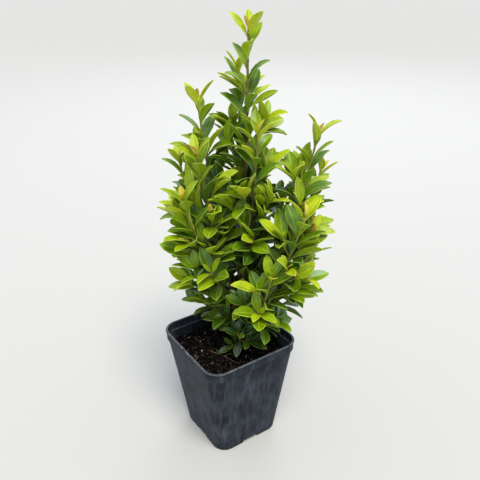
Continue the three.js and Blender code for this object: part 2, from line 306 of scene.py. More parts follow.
print("pot rings:", len(pot_rings))

# %% [markdown]
# The pot: its marks and drain slots
#
# Each wall has two small pips where pins pushed the pot off its mould and two shallow dents from
# handling, and a knock has left a nick in the lip. All are made by moving the points that are
# already there, each by a smooth bump that fades with distance. The drain slots go right through,
# which moving points can't do, so a boolean cuts them.

# %% Pips, dents and a nick
PIP_DEPTH = 1.0
PIP_WIDTH = 1.5
PIP_PLACES = [(-8, 67), (8, 67)]
DIMPLE_DEPTH = 0.5
DIMPLE_WIDTH = 4.5
DIMPLE_PLACES = [(-17, 22), (15, 34)]
NICK = (-44.5, -5)
NICK_DEPTH = 1.1
NICK_WIDTH = 2.0
# Marks take the points that lie within this distance of a wall's plane, or of the lip.
MARK_DEPTH = 2


def mesh_piece(name, points, faces, edges=()):
    """A mesh object from points in millimetres."""
    mesh = bpy.data.meshes.new(name)
    mesh.from_pydata([tuple(MM * x for x in p) for p in points], edges, faces)
    return in_scene(name, mesh)


marks = np.array(pot_points)
# The outer wall's rings come first, after those that round its foot.
outer = np.zeros(len(marks), bool)
outer[:(WALL_RINGS + ROUND_STEPS - 1) * len(pot_rings[0])] = True
dents = [(*spot, PIP_DEPTH, PIP_WIDTH) for spot in PIP_PLACES]
dents += [(*spot, DIMPLE_DEPTH, DIMPLE_WIDTH) for spot in DIMPLE_PLACES]
for quarter in range(4):
    turn = 0.5 * math.pi * quarter
    along = marks @ np.array((-math.sin(turn), math.cos(turn), 0))
    outward = np.array((math.cos(turn), math.sin(turn), 0))
    facing = outer & (marks @ outward > BASE_WIDTH / 2 - MARK_DEPTH)
    for offset, height, dent_depth, dent_width in dents:
        far2 = (along - offset) ** 2 + (marks[:, 2] - height) ** 2
        marks -= np.outer(facing * dent_depth * np.exp(-far2 / dent_width ** 2), outward)
far2 = (marks[:, 0] - NICK[0]) ** 2 + (marks[:, 1] - NICK[1]) ** 2
on_lip = marks[:, 2] > POT_HEIGHT - MARK_DEPTH
marks[:, 2] -= on_lip * NICK_DEPTH * np.exp(-far2 / NICK_WIDTH ** 2)
pot = mesh_piece("nursery_pot", marks, pot_faces)
print("pot points:", len(pot.data.vertices))

# %% Drain slots
DRAIN_WIDTH = 16
DRAIN_RISE = 3.4
DRAIN_DEPTH = 4
DRAIN_CORNER = 1.6
DRAIN_FOOT = -1
POT_SHARP = 38


def joined(skins):
    """The points and faces of several skins as those of one."""
    points, faces = [], []
    for skin_points, skin_faces in skins:
        faces += [tuple(i + len(points) for i in face) for face in skin_faces]
        points += skin_points
    return points, faces


def apply_modifiers(piece):
    """Keeps what a piece's modifiers make as its plain mesh."""
    graph = bpy.context.evaluated_depsgraph_get()
    made = bpy.data.meshes.new_from_object(piece.evaluated_get(graph))
    piece.modifiers.clear()
    piece.data = made


# A slot's outline along the wall: a flat-topped arch with its shoulders rounded off.
slot_half = DRAIN_WIDTH / 2
shoulder = [(slot_half - DRAIN_CORNER * (1 - math.cos(a)), DRAIN_RISE - DRAIN_CORNER * (1 - math.sin(a)))
            for a in np.linspace(0, math.pi / 2, ROUND_STEPS + 1)]
left_shoulder = [(-y, z) for y, z in reversed(shoulder)]
arch = [(slot_half, DRAIN_FOOT), *shoulder, *left_shoulder, (-slot_half, DRAIN_FOOT)]
turns = [Matrix.Rotation(quarter * math.pi / 2, 3, "Z") for quarter in range(4)]
cutter = mesh_piece("drain_slots", *joined(
    loft([[turn @ Vector((BASE_WIDTH / 2 + x, y, z)) for y, z in arch]
          for x in (-DRAIN_DEPTH, DRAIN_DEPTH)]) for turn in turns))
slots = pot.modifiers.new("slots", "BOOLEAN")
slots.object = cutter
slots.solver = "MANIFOLD"
apply_modifiers(pot)
pot.data.materials.clear()
bpy.data.objects.remove(cutter)
pot.data.shade_smooth()
pot.data.set_sharp_from_angle(angle=math.radians(POT_SHARP))
print("pot points with its slots cut:", len(pot.data.vertices))

# %% [markdown]
# The pot: its finish
#
# The plastic is recycled polypropylene, a dark slate grey with a satin skin. The regrind never
# mixes evenly, so the grey is mottled over one or two centimetres. Handling and rain leave pale
# smears that run down the walls. What faces up, the lip and the ledge inside, is painted paler: it
# is scuffed and dusty, and the paleness is also a painted highlight of the light that falls on it.
# The smears are a noise stretched nine times along Z, and a thinner noise, stretched further and
# slanted, draws scratches. The scuffs and painted highlight could be placed by height, but the
# surface's own direction finds the ledge as well as the lip, and a finer noise lets them come and go.

# %% Pot material
# The size of each pattern in millimetres, and how far its place is squeezed along Z, which stretches
# it down the wall.
MOTTLE = 17
SMEAR = 4.0
SMEAR_RUN = 0.11
SCRATCH = 1.1
SCRATCH_RUN = 0.04
SCRATCH_SLANT = (0.5, 0.4, 0.0)
SCUFF_AND_HIGHLIGHT = 2.2
GRAIN = 0.5
# From where a surface's upward share counts as facing up, and from where it does so in full.
FACING_UP = (0.2, 0.75)


def per_metre(size):
    """A pattern's scale, for features of a size in millimetres."""
    return 1 / (size * MM)


polypropylene, tree, place = new_material("recycled polypropylene, satin moulded")
mottle = add(tree, "ShaderNodeTexNoise",
             {"Vector": place, "Scale": per_metre(MOTTLE), "Detail": 4.0, "Roughness": 0.6})
grey = add(tree, "ShaderNodeValToRGB", {"Fac": mottle},
           stops=[(0.3, "#181c22"), (0.52, "#282d35"), (0.74, "#3a404a")])
stretched = add(tree, "ShaderNodeMapping", {"Vector": place, "Scale": (1.0, 1.0, SMEAR_RUN)})
smear = add(tree, "ShaderNodeTexNoise",
            {"Vector": stretched, "Scale": per_metre(SMEAR), "Detail": 4.0, "Roughness": 0.55})
smear = add(tree, "ShaderNodeMapRange",
            {"Value": smear, "From Min": 0.45, "From Max": 0.8, "To Min": 0.0, "To Max": 0.55})
slanted = add(tree, "ShaderNodeMapping",
              {"Vector": place, "Rotation": SCRATCH_SLANT, "Scale": (1.0, 1.0, SCRATCH_RUN)})
scratch = add(tree, "ShaderNodeTexNoise",
              {"Vector": slanted, "Scale": per_metre(SCRATCH), "Detail": 2.0})
scratch = add(tree, "ShaderNodeMapRange",
              {"Value": scratch, "From Min": 0.66, "From Max": 0.74, "To Min": 0.0, "To Max": 0.35})
rubbed = add(tree, "ShaderNodeMath", {0: smear, 1: scratch}, operation="MAXIMUM")
smeared = add(tree, "ShaderNodeMix", {0: rubbed, 6: grey, 7: linear("#5e646d")}, out=2,
              data_type="RGBA")
# What faces up is painted paler: scuffs and dust, and a painted highlight along the lip and ledge.
facing = add(tree, "ShaderNodeNewGeometry", out="Normal")
upward = add(tree, "ShaderNodeSeparateXYZ", {0: facing}, out=2)
scuffs_and_highlight = add(tree, "ShaderNodeTexNoise", {"Vector": place, "Scale": per_metre(SCUFF_AND_HIGHLIGHT), "Detail": 4.0})
scuffs_and_highlight = add(tree, "ShaderNodeMapRange",
            {"Value": scuffs_and_highlight, "From Min": 0.3, "From Max": 0.75, "To Min": 0.1, "To Max": 0.85})
on_top = add(tree, "ShaderNodeMapRange",
             {"Value": upward, "From Min": FACING_UP[0], "From Max": FACING_UP[1]})
scuffs_and_highlight = add(tree, "ShaderNodeMath", {0: scuffs_and_highlight, 1: on_top}, operation="MULTIPLY")
worn_and_highlit = add(tree, "ShaderNodeMix", {0: scuffs_and_highlight, 6: smeared, 7: linear("#787a82")}, out=2,
           data_type="RGBA")
gloss = add(tree, "ShaderNodeMapRange",
            {"Value": smear, "From Max": 0.5, "To Min": 0.46, "To Max": 0.66})
grain = add(tree, "ShaderNodeTexNoise", {"Vector": place, "Scale": per_metre(GRAIN), "Detail": 2.0})
skin = add(tree, "ShaderNodeBump", {"Height": grain, "Strength": 0.16, "Distance": 0.1 * MM})
surface = add(tree, "ShaderNodeBsdfPrincipled",
              {"Base Color": worn_and_highlit, "Roughness": gloss, "IOR": 1.49, "Specular IOR Level": 0.07,
               "Normal": skin})
add(tree, "ShaderNodeOutputMaterial", {"Surface": surface})
pot.data.materials.append(polypropylene)
print("plastic nodes:", len(tree.nodes))

# %% Set the pot in place of its solid
def dress(piece, slot, *nodes):
    """Sets the piece on the plant's one body, in place of these solids."""
    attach(piece, "root")
    if nodes:
        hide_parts(*nodes)
    print(piece.name, "faces:", len(piece.data.polygons))


dress(pot, "pot_plastic", "pot")

# %% [markdown]
# The compost: its bed
#
# Potting compost is peat and composted bark. Watering settles it about a centimetre and a half
# below the lip, a little lower along the walls and heaped against the trunk, and its surface is
# all crumbs and hollows. The bed could be a grid cut to the pot's inside, but the loft is there
# already: its rings shrink from the wall to the middle, a millimetre apart, with their points raised
# by layers of noise, and a skirt goes down to the pot's floor so that it is one closed block.

# %% Compost bed
soil_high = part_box("compost")[1]
SOIL_LEVEL = soil_high.z / MM
TRUNK_FOOT = np.array((14.0, -4.0, SOIL_LEVEL))
BED_STEP = 1.1
HEAP = 2.2
HEAP_WIDTH = 16
WALL_SINK = 1.6
# Beyond this share of the way to the walls, the bed sinks towards them.
SINK_START = 0.8
# The bed's broad rolls and narrower ones, each with its rise and its width, and how far all of it
# has settled.
ROLLS = ((1.3, 17), (0.9, 7))
SETTLED = 0.9
CRUMB_RISE = 1.1
CRUMB_WIDTH = 3.2
CLEAR = 0.3
# The skirt's upper edge, under the compost's level, and the innermost ring's share of the outermost.
BED_SKIRT = 6
BED_MIDDLE = 0.012


def soil_rolls(x, y):
    """The compost's height at a place in the pot, without its crumbs."""
    spot = Vector((x, y, 0))
    (broad_rise, broad), (narrow_rise, narrow) = ROLLS
    rolls = broad_rise * noise.noise(spot / broad)
    rolls += narrow_rise * noise.noise(spot / narrow + Vector((5, 0, 0)))
    heap = HEAP * math.exp(-((x - TRUNK_FOOT[0]) ** 2 + (y - TRUNK_FOOT[1]) ** 2) / HEAP_WIDTH ** 2)
    edge = max(abs(x), abs(y)) / (soil_high.x / MM)
    sink = WALL_SINK * max(0.0, edge - SINK_START) / (1 - SINK_START)
    return SOIL_LEVEL - SETTLED + rolls + heap - sink


def soil_height(x, y):
    """The compost's height at a place in the pot."""
    lumps = noise.noise(Vector((x, y, 0)) / CRUMB_WIDTH + Vector((0, 9, 0)))
    return soil_rolls(x, y) + CRUMB_RISE * lumps


def soil_ring(z, scale=1.0):
    """The outline of the compost inside the pot, or one that is smaller by a scale."""
    return [(scale * x, scale * y, z) for x, y, z in wall_ring(z, WALL + CLEAR)]


bed_rings = [soil_ring(FLOOR_THICKNESS + CLEAR), soil_ring(SOIL_LEVEL - BED_SKIRT)]
inward = int(soil_high.x / MM / BED_STEP)
for scale in np.linspace(1, BED_MIDDLE, inward):
    bed_rings.append([(x, y, soil_height(x, y)) for x, y, z in soil_ring(SOIL_LEVEL, scale)])
bed = mesh_piece("compost_bed", *loft(bed_rings))
bed.data.shade_smooth()
print("bed rings:", len(bed_rings))

# %% [markdown]
# The compost: crumbs, fibres and grit
#
# Seen close, compost is a scatter of things: crumbs of peat up to four millimetres, most of them
# wet and black, flakes of bark, thin fibres, a few pale grains of grit and specks of young moss. A
# bump map would only hint at them, and each could be placed by hand, but a geometry tree that
# scatters small pieces over the bed does it evenly and in a few nodes. It takes the pieces, how many
# there are to a square metre, their sizes and a seed. The one long forked straw that lies on top is
# laid along a listed path.

# %% Crumbs, from a solid of twenty faces
CRUMB_SHAPES = 6
CRUMB_LUMPS = 0.22
CRUMB_FLATNESS = 0.75
GOLDEN = (1 + math.sqrt(5)) / 2
ICO_POINTS = [Vector(p).normalized() for p in (
    (-1, GOLDEN, 0), (1, GOLDEN, 0), (-1, -GOLDEN, 0), (1, -GOLDEN, 0), (0, -1, GOLDEN),
    (0, 1, GOLDEN), (0, -1, -GOLDEN), (0, 1, -GOLDEN), (GOLDEN, 0, -1), (GOLDEN, 0, 1),
    (-GOLDEN, 0, -1), (-GOLDEN, 0, 1))]
ICO_FACES = [
    (0, 11, 5), (0, 5, 1), (0, 1, 7), (0, 7, 10), (0, 10, 11), (1, 5, 9), (5, 11, 4),
    (11, 10, 2), (10, 7, 6), (7, 1, 8), (3, 9, 4), (3, 4, 2), (3, 2, 6), (3, 6, 8),
    (3, 8, 9), (4, 9, 5), (2, 4, 11), (6, 2, 10), (8, 6, 7), (9, 8, 1)]


def shelf(name, pieces):
    """A collection of small pieces for a tree to pick from, which is never shown itself."""
    collection = bpy.data.collections.new(name)
    for piece in pieces:
        bpy.context.scene.collection.objects.unlink(piece)
        collection.objects.link(piece)
    return collection


def crumb(number):
    """A lump one millimetre across, pushed out of round and a little flat."""
    points = []
    for p in ICO_POINTS:
        push = 0.5 + CRUMB_LUMPS * noise.noise(p * 1.7 + Vector((number * 3.1, 0, 0)))
        points.append((p.x * push, p.y * push, p.z * push * CRUMB_FLATNESS))
    piece = mesh_piece(f"crumb_{number}", points, ICO_FACES)
    piece.data.shade_smooth()
    return piece


crumbs = shelf("crumbs", [crumb(i) for i in range(CRUMB_SHAPES)])

# %% Bark flakes
FLAKE_SHAPES = 5
FLAKE_CORNERS = 5
# Each of a flake's three levels: its height, and its width as a share.
FLAKE_LEVELS = ((-0.07, 0.86), (0.0, 1.0), (0.07, 0.82))
FLAKE_NARROWNESS = 0.62
FLAKE_UNEVENNESS = 0.3


def flake(number):
    """A flat chip of bark one millimetre long, five-sided and a little curled."""
    rings = []
    for z, scale in FLAKE_LEVELS:
        ring = []
        for corner in range(FLAKE_CORNERS):
            a = 2 * math.pi * corner / FLAKE_CORNERS
            uneven = FLAKE_UNEVENNESS * noise.noise(Vector((number * 2.7, corner * 1.9, 4)))
            reach = 0.5 * scale * (1 + uneven)
            x, y = FLAKE_NARROWNESS * reach * math.cos(a), reach * math.sin(a)
            ring.append((x, y, z + 0.5 * y * y))
        rings.append(ring)
    return mesh_piece(f"flake_{number}", *loft(rings))


flakes = shelf("flakes", [flake(i) for i in range(FLAKE_SHAPES)])

# %% Fibres
FIBRE_SHAPES = 6
FIBRE_THICKNESS = 0.022
FIBRE_BEND = 0.16
FIBRE_BEND_SWAY = 0.1
FIBRE_SIDES = 4
FIBRE_RINGS = 6


def fibre(number):
    """A bent strand one millimetre long and four-sided, thinner towards one end."""
    rings = []
    bend = FIBRE_BEND + FIBRE_BEND_SWAY * noise.noise(Vector((number * 1.3, 2, 0)))
    for share in np.linspace(0, 1, FIBRE_RINGS):
        thick = FIBRE_THICKNESS * (1.15 - share)
        rise = 0.05 + bend * math.sin(math.pi * share) * (0.3 + 0.2 * (number % 3))
        aside = bend * math.sin((1.2 + 0.5 * number) * share + number)
        rings.append([(aside + thick * math.cos(a), share - 0.5, rise + thick * math.sin(a))
                      for a in np.linspace(2 * math.pi, 0, FIBRE_SIDES + 1)[:-1]])
    piece = mesh_piece(f"fibre_{number}", *loft(rings))
    piece.data.shade_smooth()
    return piece


fibres = shelf("fibres", [fibre(i) for i in range(FIBRE_SHAPES)])

# %% The scattering tree
# Pieces lie only where the bed's upward share is over this.
LEVEL_ENOUGH = 0.4


def shape_tree(name, sockets):
    """A geometry tree with named inputs, and the outputs of its input node."""
    tree = bpy.data.node_groups.new(name, "GeometryNodeTree")
    tree.interface.new_socket("Geometry", in_out="INPUT", socket_type="NodeSocketGeometry")
    for label, kind in sockets.items():
        tree.interface.new_socket(label, in_out="INPUT", socket_type="NodeSocket" + kind)
    tree.interface.new_socket("Geometry", in_out="OUTPUT", socket_type="NodeSocketGeometry")
    return tree, tree.nodes.new("NodeGroupInput").outputs


def run_tree(piece, tree, values):
    """Runs a tree on a piece, and keeps what it makes as the piece's plain mesh."""
    modifier = piece.modifiers.new("shape", "NODES")
    modifier.node_group = tree
    for item in tree.interface.items_tree:
        if item.name in values and item.in_out == "INPUT":
            modifier[item.identifier] = values[item.name]
    apply_modifiers(piece)
    return piece


def set_out(tree, points, kit, **places):
    """Pieces of a kit set on points and made real."""
    choices = add(tree, "GeometryNodeCollectionInfo",
                  {"Collection": kit, "Separate Children": True, "Reset Children": True})
    copies = add(tree, "GeometryNodeInstanceOnPoints", {
        "Points": points, "Instance": choices, "Pick Instance": True, **places})
    return add(tree, "GeometryNodeRealizeInstances", {"Geometry": copies})


scatter, given = shape_tree("scatter on the compost", {
    "Pieces": "Collection", "Per square metre": "Float", "Spacing": "Float", "Smallest": "Float",
    "Largest": "Float", "Tilt": "Float", "Reach": "Float", "Seed": "Int", "Finish": "Material"})
facing = add(scatter, "ShaderNodeSeparateXYZ", {0: add(scatter, "GeometryNodeInputNormal")}, out=2)
upward = add(scatter, "FunctionNodeCompare", {0: facing, 1: LEVEL_ENOUGH})
spot = add(scatter, "ShaderNodeVectorMath", {0: add(scatter, "GeometryNodeInputPosition")},
           operation="ABSOLUTE")
spot = add(scatter, "ShaderNodeSeparateXYZ", {0: spot}).node
aside = add(scatter, "ShaderNodeMath", {0: spot.outputs[0], 1: spot.outputs[1]}, operation="MAXIMUM")
inside = add(scatter, "FunctionNodeCompare", {0: aside, 1: given["Reach"]}, operation="LESS_THAN")
inside = add(scatter, "FunctionNodeBooleanMath", {0: upward, 1: inside})
spots = scatter.nodes.new("GeometryNodeDistributePointsOnFaces")
spots.distribute_method = "POISSON"
for source, target in (
        (given["Geometry"], "Mesh"), (inside, "Selection"), (given["Spacing"], "Distance Min"),
        (given["Per square metre"], "Density Max"), (given["Seed"], "Seed")):
    scatter.links.new(source, spots.inputs[target])
size = add(scatter, "FunctionNodeRandomValue",
           {2: given["Smallest"], 3: given["Largest"], "Seed": given["Seed"]}, out=1)
lean = add(scatter, "ShaderNodeCombineXYZ", {0: given["Tilt"], 1: given["Tilt"], 2: math.pi})
back = add(scatter, "ShaderNodeVectorMath", {0: lean}, operation="SCALE")
back.node.inputs["Scale"].default_value = -1
turn = add(scatter, "FunctionNodeRandomValue", {0: back, 1: lean, "Seed": given["Seed"]},
           data_type="FLOAT_VECTOR")
whole = set_out(scatter, spots.outputs["Points"], given["Pieces"],
                Rotation=add(scatter, "FunctionNodeEulerToRotation", {0: turn}), Scale=size)
finished = add(scatter, "GeometryNodeSetMaterial", {"Geometry": whole, "Material": given["Finish"]})
add(scatter, "NodeGroupOutput", {0: finished})
print("scatter nodes:", len(scatter.nodes))

# %% [markdown]
# The compost: its finish
#
# Wet peat is nearly black, and dries to a greyish brown. All of it is quite matt. Everything here
# shares one recipe, noise in two sizes between the wet and the dry colour, with a fine bump. Only
# the three colours and the size of the clumps change: the flakes and fibres have the grey brown of
# old bark, the grit is dusty white and the moss is an olive yellow.

# %% Compost materials
PEAT_GRAIN = 0.7


def peat_material(name, wet, damp, dry, clump):
    """Peat between its wet and its dry colour, in clumps of a size in millimetres."""
    material, tree, place = new_material(name)
    broad = add(tree, "ShaderNodeTexNoise",
                {"Vector": place, "Scale": per_metre(clump), "Detail": 5.0, "Roughness": 0.7})
    colour = add(tree, "ShaderNodeValToRGB", {"Fac": broad},
                 stops=[(0.32, wet), (0.55, damp), (0.8, dry)])
    fine = add(tree, "ShaderNodeTexNoise",
               {"Vector": place, "Scale": per_metre(PEAT_GRAIN), "Detail": 4.0})
    rough = add(tree, "ShaderNodeBump", {"Height": fine, "Strength": 0.7, "Distance": 0.4 * MM})
    surface = add(tree, "ShaderNodeBsdfPrincipled",
                  {"Base Color": colour, "Roughness": 0.95, "Specular IOR Level": 0.05, "Normal": rough})
    add(tree, "ShaderNodeOutputMaterial", {"Surface": surface})
    return material


peat = peat_material("damp peat compost", "#040303", "#0b0908", "#1a1715", 4)
wet_crumbs = peat_material("peat crumbs, wet", "#070504", "#110e0d", "#26211e", 3)
dry_crumbs = peat_material("peat crumbs, drier", "#1c1815", "#3b342e", "#6e645a", 3)
flaked_bark = peat_material("composted bark flakes", "#221c18", "#453a32", "#7d6e60", 6)
bark_fibre = peat_material("shredded bark fibre", "#1e1814", "#43372f", "#75665a", 5)
grit = peat_material("lime grit, dusty", "#8c867a", "#cfc9bd", "#e9e5dc", 1.5)
moss = peat_material("young moss", "#2c2c10", "#55521f", "#8a8440", 2)
bed.data.materials.append(peat)
dress(bed, "compost", "compost")

# %% Scatter the pieces
# For each kind: its pieces, how many to a square metre, and in millimetres their spacing, sizes and
# distance from the wall.
SCATTERS = {
    "wet_crumbs": dict(pieces=crumbs, density=200000, spacing=1.5, small=1.4, large=4.2, tilt=3.1,
                       inset=1.4, seed=3, finish=wet_crumbs),
    "compost_fines": dict(pieces=crumbs, density=220000, spacing=1.1, small=0.6, large=1.5, tilt=3.1,
                          inset=0.5, seed=8, finish=peat),
    "dry_crumbs": dict(pieces=crumbs, density=60000, spacing=2.2, small=0.9, large=3.0, tilt=3.1,
                       inset=1.2, seed=31, finish=dry_crumbs),
    "bark_flakes": dict(pieces=flakes, density=60000, spacing=2.4, small=1.4, large=4.6, tilt=1.3,
                        inset=2.4, seed=14, finish=flaked_bark),
    "bark_fibres": dict(pieces=fibres, density=20000, spacing=3.4, small=4.0, large=13.0, tilt=0.4,
                        inset=6.5, seed=5, finish=bark_fibre),
    "lime_grit": dict(pieces=crumbs, density=7000, spacing=3.0, small=0.7, large=1.8, tilt=3.1,
                      inset=2.0, seed=21, finish=grit),
    "moss_specks": dict(pieces=crumbs, density=9000, spacing=3.0, small=0.7, large=1.9, tilt=3.1,
                        inset=0.6, seed=27, finish=moss),
}
for name, part in SCATTERS.items():
    piece = in_scene(name, bed.data.copy())
    run_tree(piece, scatter, {
        "Pieces": part["pieces"], "Per square metre": float(part["density"]),
        "Spacing": part["spacing"] * MM, "Smallest": part["small"], "Largest": part["large"],
        "Tilt": part["tilt"], "Reach": soil_high.x - part["inset"] * MM,
        "Seed": part["seed"], "Finish": part["finish"]})
    dress(piece, "compost", "compost")

# %% The forked straw
STRAW = [(-18.9, 2.1), (-15.6, -4.4), (-12.2, -11.0), (-10.4, -19.0), (-7.8, -27.8)]
STRAW_FORK = [(-12.2, -11.0), (-8.6, -10.2), (-5.0, -12.4)]
STRAW_THICKNESS = 0.5
STRAW_TAPER = 0.6
STRAW_LIFT = 2.4
STRAW_SIDES = 6
STRAW_RINGS = 4


def laid_tube(path):
    """Rings along a line of places on the compost, for one tapering straw."""
    places = np.array(path)
    steps = np.linspace(0, len(places) - 1, STRAW_RINGS * len(places))
    middle = np.column_stack([np.interp(steps, range(len(places)), places[:, i]) for i in (0, 1)])
    rings = []
    for i, (x, y) in enumerate(middle):
        ahead = middle[min(i + 1, len(middle) - 1)] - middle[max(i - 1, 0)]
        across = np.array((ahead[1], -ahead[0])) / np.linalg.norm(ahead)
        thick = STRAW_THICKNESS * (1 - STRAW_TAPER * i / len(middle))
        z = soil_rolls(x, y) + STRAW_LIFT
        rings.append([(x + thick * math.cos(a) * across[0], y + thick * math.cos(a) * across[1],
                       z + thick * math.sin(a))
                      for a in np.linspace(0, 2 * math.pi, STRAW_SIDES + 1)[:-1]])
    return rings


straw = mesh_piece("forked_straw", *joined(loft(laid_tube(path)) for path in (STRAW, STRAW_FORK)))
straw.data.shade_smooth()
straw.data.materials.append(peat_material("dry straw", "#43362f", "#66564d", "#87776b", 5))
dress(straw, "compost", "compost")

# %% [markdown]
# The growth rule
#
# Every shoot of the plant is one bend: it leaves the trunk, swings out to a shoulder and turns up
# to the light. The solids were grown from a short table of tiers, and the same table and rule are
# written again here, so the fine stems run where the solid ones do. The values are the height of
# a tier's first fork, the rise from fork to fork, the bare length, half the thickness at the fork,
# the number and length of side twigs, the size of the leaves, how woody the shoot's tip is, and each
# tip: degrees round, reach, and height over the compost.
# Chance comes from a sine of whole numbers instead of a random generator, so that a shoot keeps
# its twigs when something before it changes.

# %% The tiers of shoots
TRUNK_HEIGHT = 58
TIERS = {
    "base": dict(fork=2.5, step=1.6, bare=0, girth=1.1, twigs=3, twig=18, leaf=0.66, wood=0.35, tips=[
        (-135, 30, 32), (8, 34, 30), (72, 34, 30)]),
    "low": dict(fork=8, step=2.6, bare=20, girth=1.4, twigs=5, twig=30, leaf=0.95, wood=0.0, tips=[
        (-98, 48, 94), (-25, 60, 96), (40, 62, 92), (104, 60, 98), (157, 47, 98)]),
    "middle": dict(fork=21.5, step=2.6, bare=36, girth=1.5, twigs=6, twig=40, leaf=1, wood=0.0, tips=[
        (-74, 59, 142), (-8, 72, 152), (50, 70, 156), (108, 68, 158), (172, 50, 150)]),
    "leader": dict(fork=35, step=2.7, bare=46, girth=1.5, twigs=7, twig=44, leaf=1, wood=0.45, tips=[
        (-46, 57, 197), (60, 38, 235), (112, 42, 214), (161, 36, 181), (-86, 18, 199)]),
    "centre": dict(fork=TRUNK_HEIGHT, step=0, bare=0, girth=1.9, twigs=7, twig=42, leaf=1, wood=0.65,
                   tips=[(17, 8, 268)]),
}
print("tips in each tier:", {name: len(tier["tips"]) for name, tier in TIERS.items()})

# %% Chance, directions and a stem
WALK_STEPS = 200


def chance(a, b, c):
    """A repeatable number from 0 to 1 for each trio of numbers."""
    value = math.sin(a * 127.1 + b * 311.7 + c * 74.7 + 19.19) * 43758.5453
    return value - math.floor(value)


def sway(a, b, c):
    """The same from -1 to 1."""
    return 2 * chance(a, b, c) - 1


def unit(v):
    """A direction of length one."""
    return v / np.linalg.norm(v)


class Stem:
    """A curve of three points that is walked by its own length."""

    def __init__(self, foot, shoulder, tip):
        self.corners = (foot, shoulder, tip)
        self.steps = np.linspace(0, 1, WALK_STEPS + 1)
        spans = np.linalg.norm(np.diff(self.curve(self.steps), axis=0), axis=1)
        self.walked = np.concatenate(([0.0], np.cumsum(spans)))
        self.length = self.walked[-1]

    def curve(self, t):
        """Places by the curve's own parameter."""
        a, b, c = self.corners
        t = np.asarray(t)[..., None]
        return (1 - t) ** 2 * a + 2 * t * (1 - t) * b + t * t * c

    def point(self, share):
        """Places by their share of its length."""
        return self.curve(np.interp(np.asarray(share) * self.length, self.walked, self.steps))

    def along(self, share):
        """Its direction at a share of its length."""
        a, b, c = self.corners
        t = np.interp(share * self.length, self.walked, self.steps)
        return unit((1 - t) * (b - a) + t * (c - b))

    def radius(self, share):
        """Half its thickness at a share of its length."""
        return mix(self.girth[0], self.girth[1], share)


print("three numbers from chance:", [round(chance(1, 2, i), 2) for i in range(3)])

# %% Grow the shoots
TRUNK_LEAN = np.array((-0.05, 0.06, 1.0))
TRUNK_BEND = np.array((1.6, 0.8, 0.0))
TIP_GIRTH = 0.65
# A shoot's shoulder lies this share of the way out and up to its tip.
SHOULDER_REACH = 0.6
SHOULDER_RISE = 0.32


def trunk_point(height):
    """The middle of the trunk at a height over the compost."""
    return TRUNK_FOOT + TRUNK_LEAN * height + TRUNK_BEND * math.sin(height / TRUNK_HEIGHT * math.pi)


shoots = []
for tier in TIERS.values():
    for i, (degrees, reach, rise) in enumerate(tier["tips"]):
        foot = trunk_point(tier["fork"] + tier["step"] * (2 * i % len(tier["tips"])))
        turn = math.radians(degrees)
        tip = TRUNK_FOOT + np.array((reach * math.cos(turn), reach * math.sin(turn), rise))
        shoulder = mix(foot, tip, SHOULDER_REACH)
        shoulder[2] = mix(foot[2], tip[2], SHOULDER_RISE)
        shoot = Stem(foot, shoulder, tip)
        shoot.tier = tier
        shoot.shoot = len(shoots)
        shoot.number = 0
        shoot.order = 0
        shoot.bare = tier["bare"] / shoot.length
        shoot.girth = (tier["girth"], TIP_GIRTH)
        shoots.append(shoot)
print("shoots:", len(shoots), "longest, mm:", round(max(s.length for s in shoots)))

# %% [markdown]
# Side twigs, and twigs on those
#
# A twig keeps to its own shoot's space: its outer half has to be nearer to its own shoot than to
# any other, and clear of the trunk, the compost and the pot's lip. If it isn't, it is turned on by a
# sixth of a circle and tried again. The solids stop at side twigs. A real plant of this age has
# branched once more, so here short twiglets grow from them by the same test.

# %% Room for a twig
SPACE_MARGIN = 1.3
LIMB_MARGIN = 0.7
SOIL_MARGIN = 2
INNER_RIM = RIM_WIDTH / 2 - LIP - WALL
TRUNK_GIRTH = (3.1, 2.2)
SHOOT_POINTS = 31
TRUNK_POINTS = (0, 20, 40, TRUNK_HEIGHT)

lines = np.array([shoot.point(np.linspace(0, 1, SHOOT_POINTS)) for shoot in shoots])
line_starts, line_runs = lines[:, :-1], np.diff(lines, axis=1)
trunk_line = np.array([trunk_point(h) for h in TRUNK_POINTS])
limb_widths = np.array([shoot.tier["girth"] + LIMB_MARGIN for shoot in shoots])


def nearest(starts, runs, point):
    """How far a point lies from each of some straight runs."""
    share = np.clip(((point - starts) * runs).sum(-1) / (runs * runs).sum(-1), 0, 1)
    return np.linalg.norm(starts + share[..., None] * runs - point, axis=-1)


def over_soil(point):
    """Whether a point is clear of the compost and of the pot's lip."""
    if point[2] < POT_HEIGHT + SOIL_MARGIN and np.abs(point[:2]).max() > INNER_RIM - SOIL_MARGIN:
        return False
    return point[2] > SOIL_LEVEL + SOIL_MARGIN


def in_space(number, point):
    """Whether a point lies in its shoot's own space."""
    if not over_soil(point):
        return False
    from_trunk = nearest(trunk_line[:-1], np.diff(trunk_line, axis=0), point).min()
    if from_trunk < TRUNK_GIRTH[0] + LIMB_MARGIN:
        return False
    far = nearest(line_starts, line_runs, point).min(axis=1)
    limit = np.maximum(far[number] + SPACE_MARGIN, limb_widths)
    limit[number] = 0
    return bool((far > limit).all())


print("shoots as straight runs:", line_runs.shape[0] * line_runs.shape[1])

# %% One branch
UP = np.array((0.0, 0.0, 1.0))
UPWARD_PULL = 0.18
# Turns round a stem are counted from a direction that no stem follows.
TURNS_FROM = (0.3, 1, 0.1)
TWIG_TRIES = 6
# The places along a twig that have to lie in its space.
TESTED = (0.5, 0.8, 1)
# For side twigs and for twiglets: how many degrees the inner and the outer half lean from the
# parent, and half the thickness at foot and tip.
BRANCHING = {1: (50, 22, (0.75, 0.4)), 2: (42, 18, (0.5, 0.32))}


def leaning(along, degrees, angle):
    """A direction that leans out from a stem, at a turn round it, drawn up to the light."""
    aside = unit(np.cross(along, TURNS_FROM))
    turn = math.radians(degrees)
    radial = aside * math.cos(turn) + np.cross(along, aside) * math.sin(turn)
    lean = math.radians(angle)
    return unit(along * math.cos(lean) + radial * math.sin(lean) + UP * UPWARD_PULL)


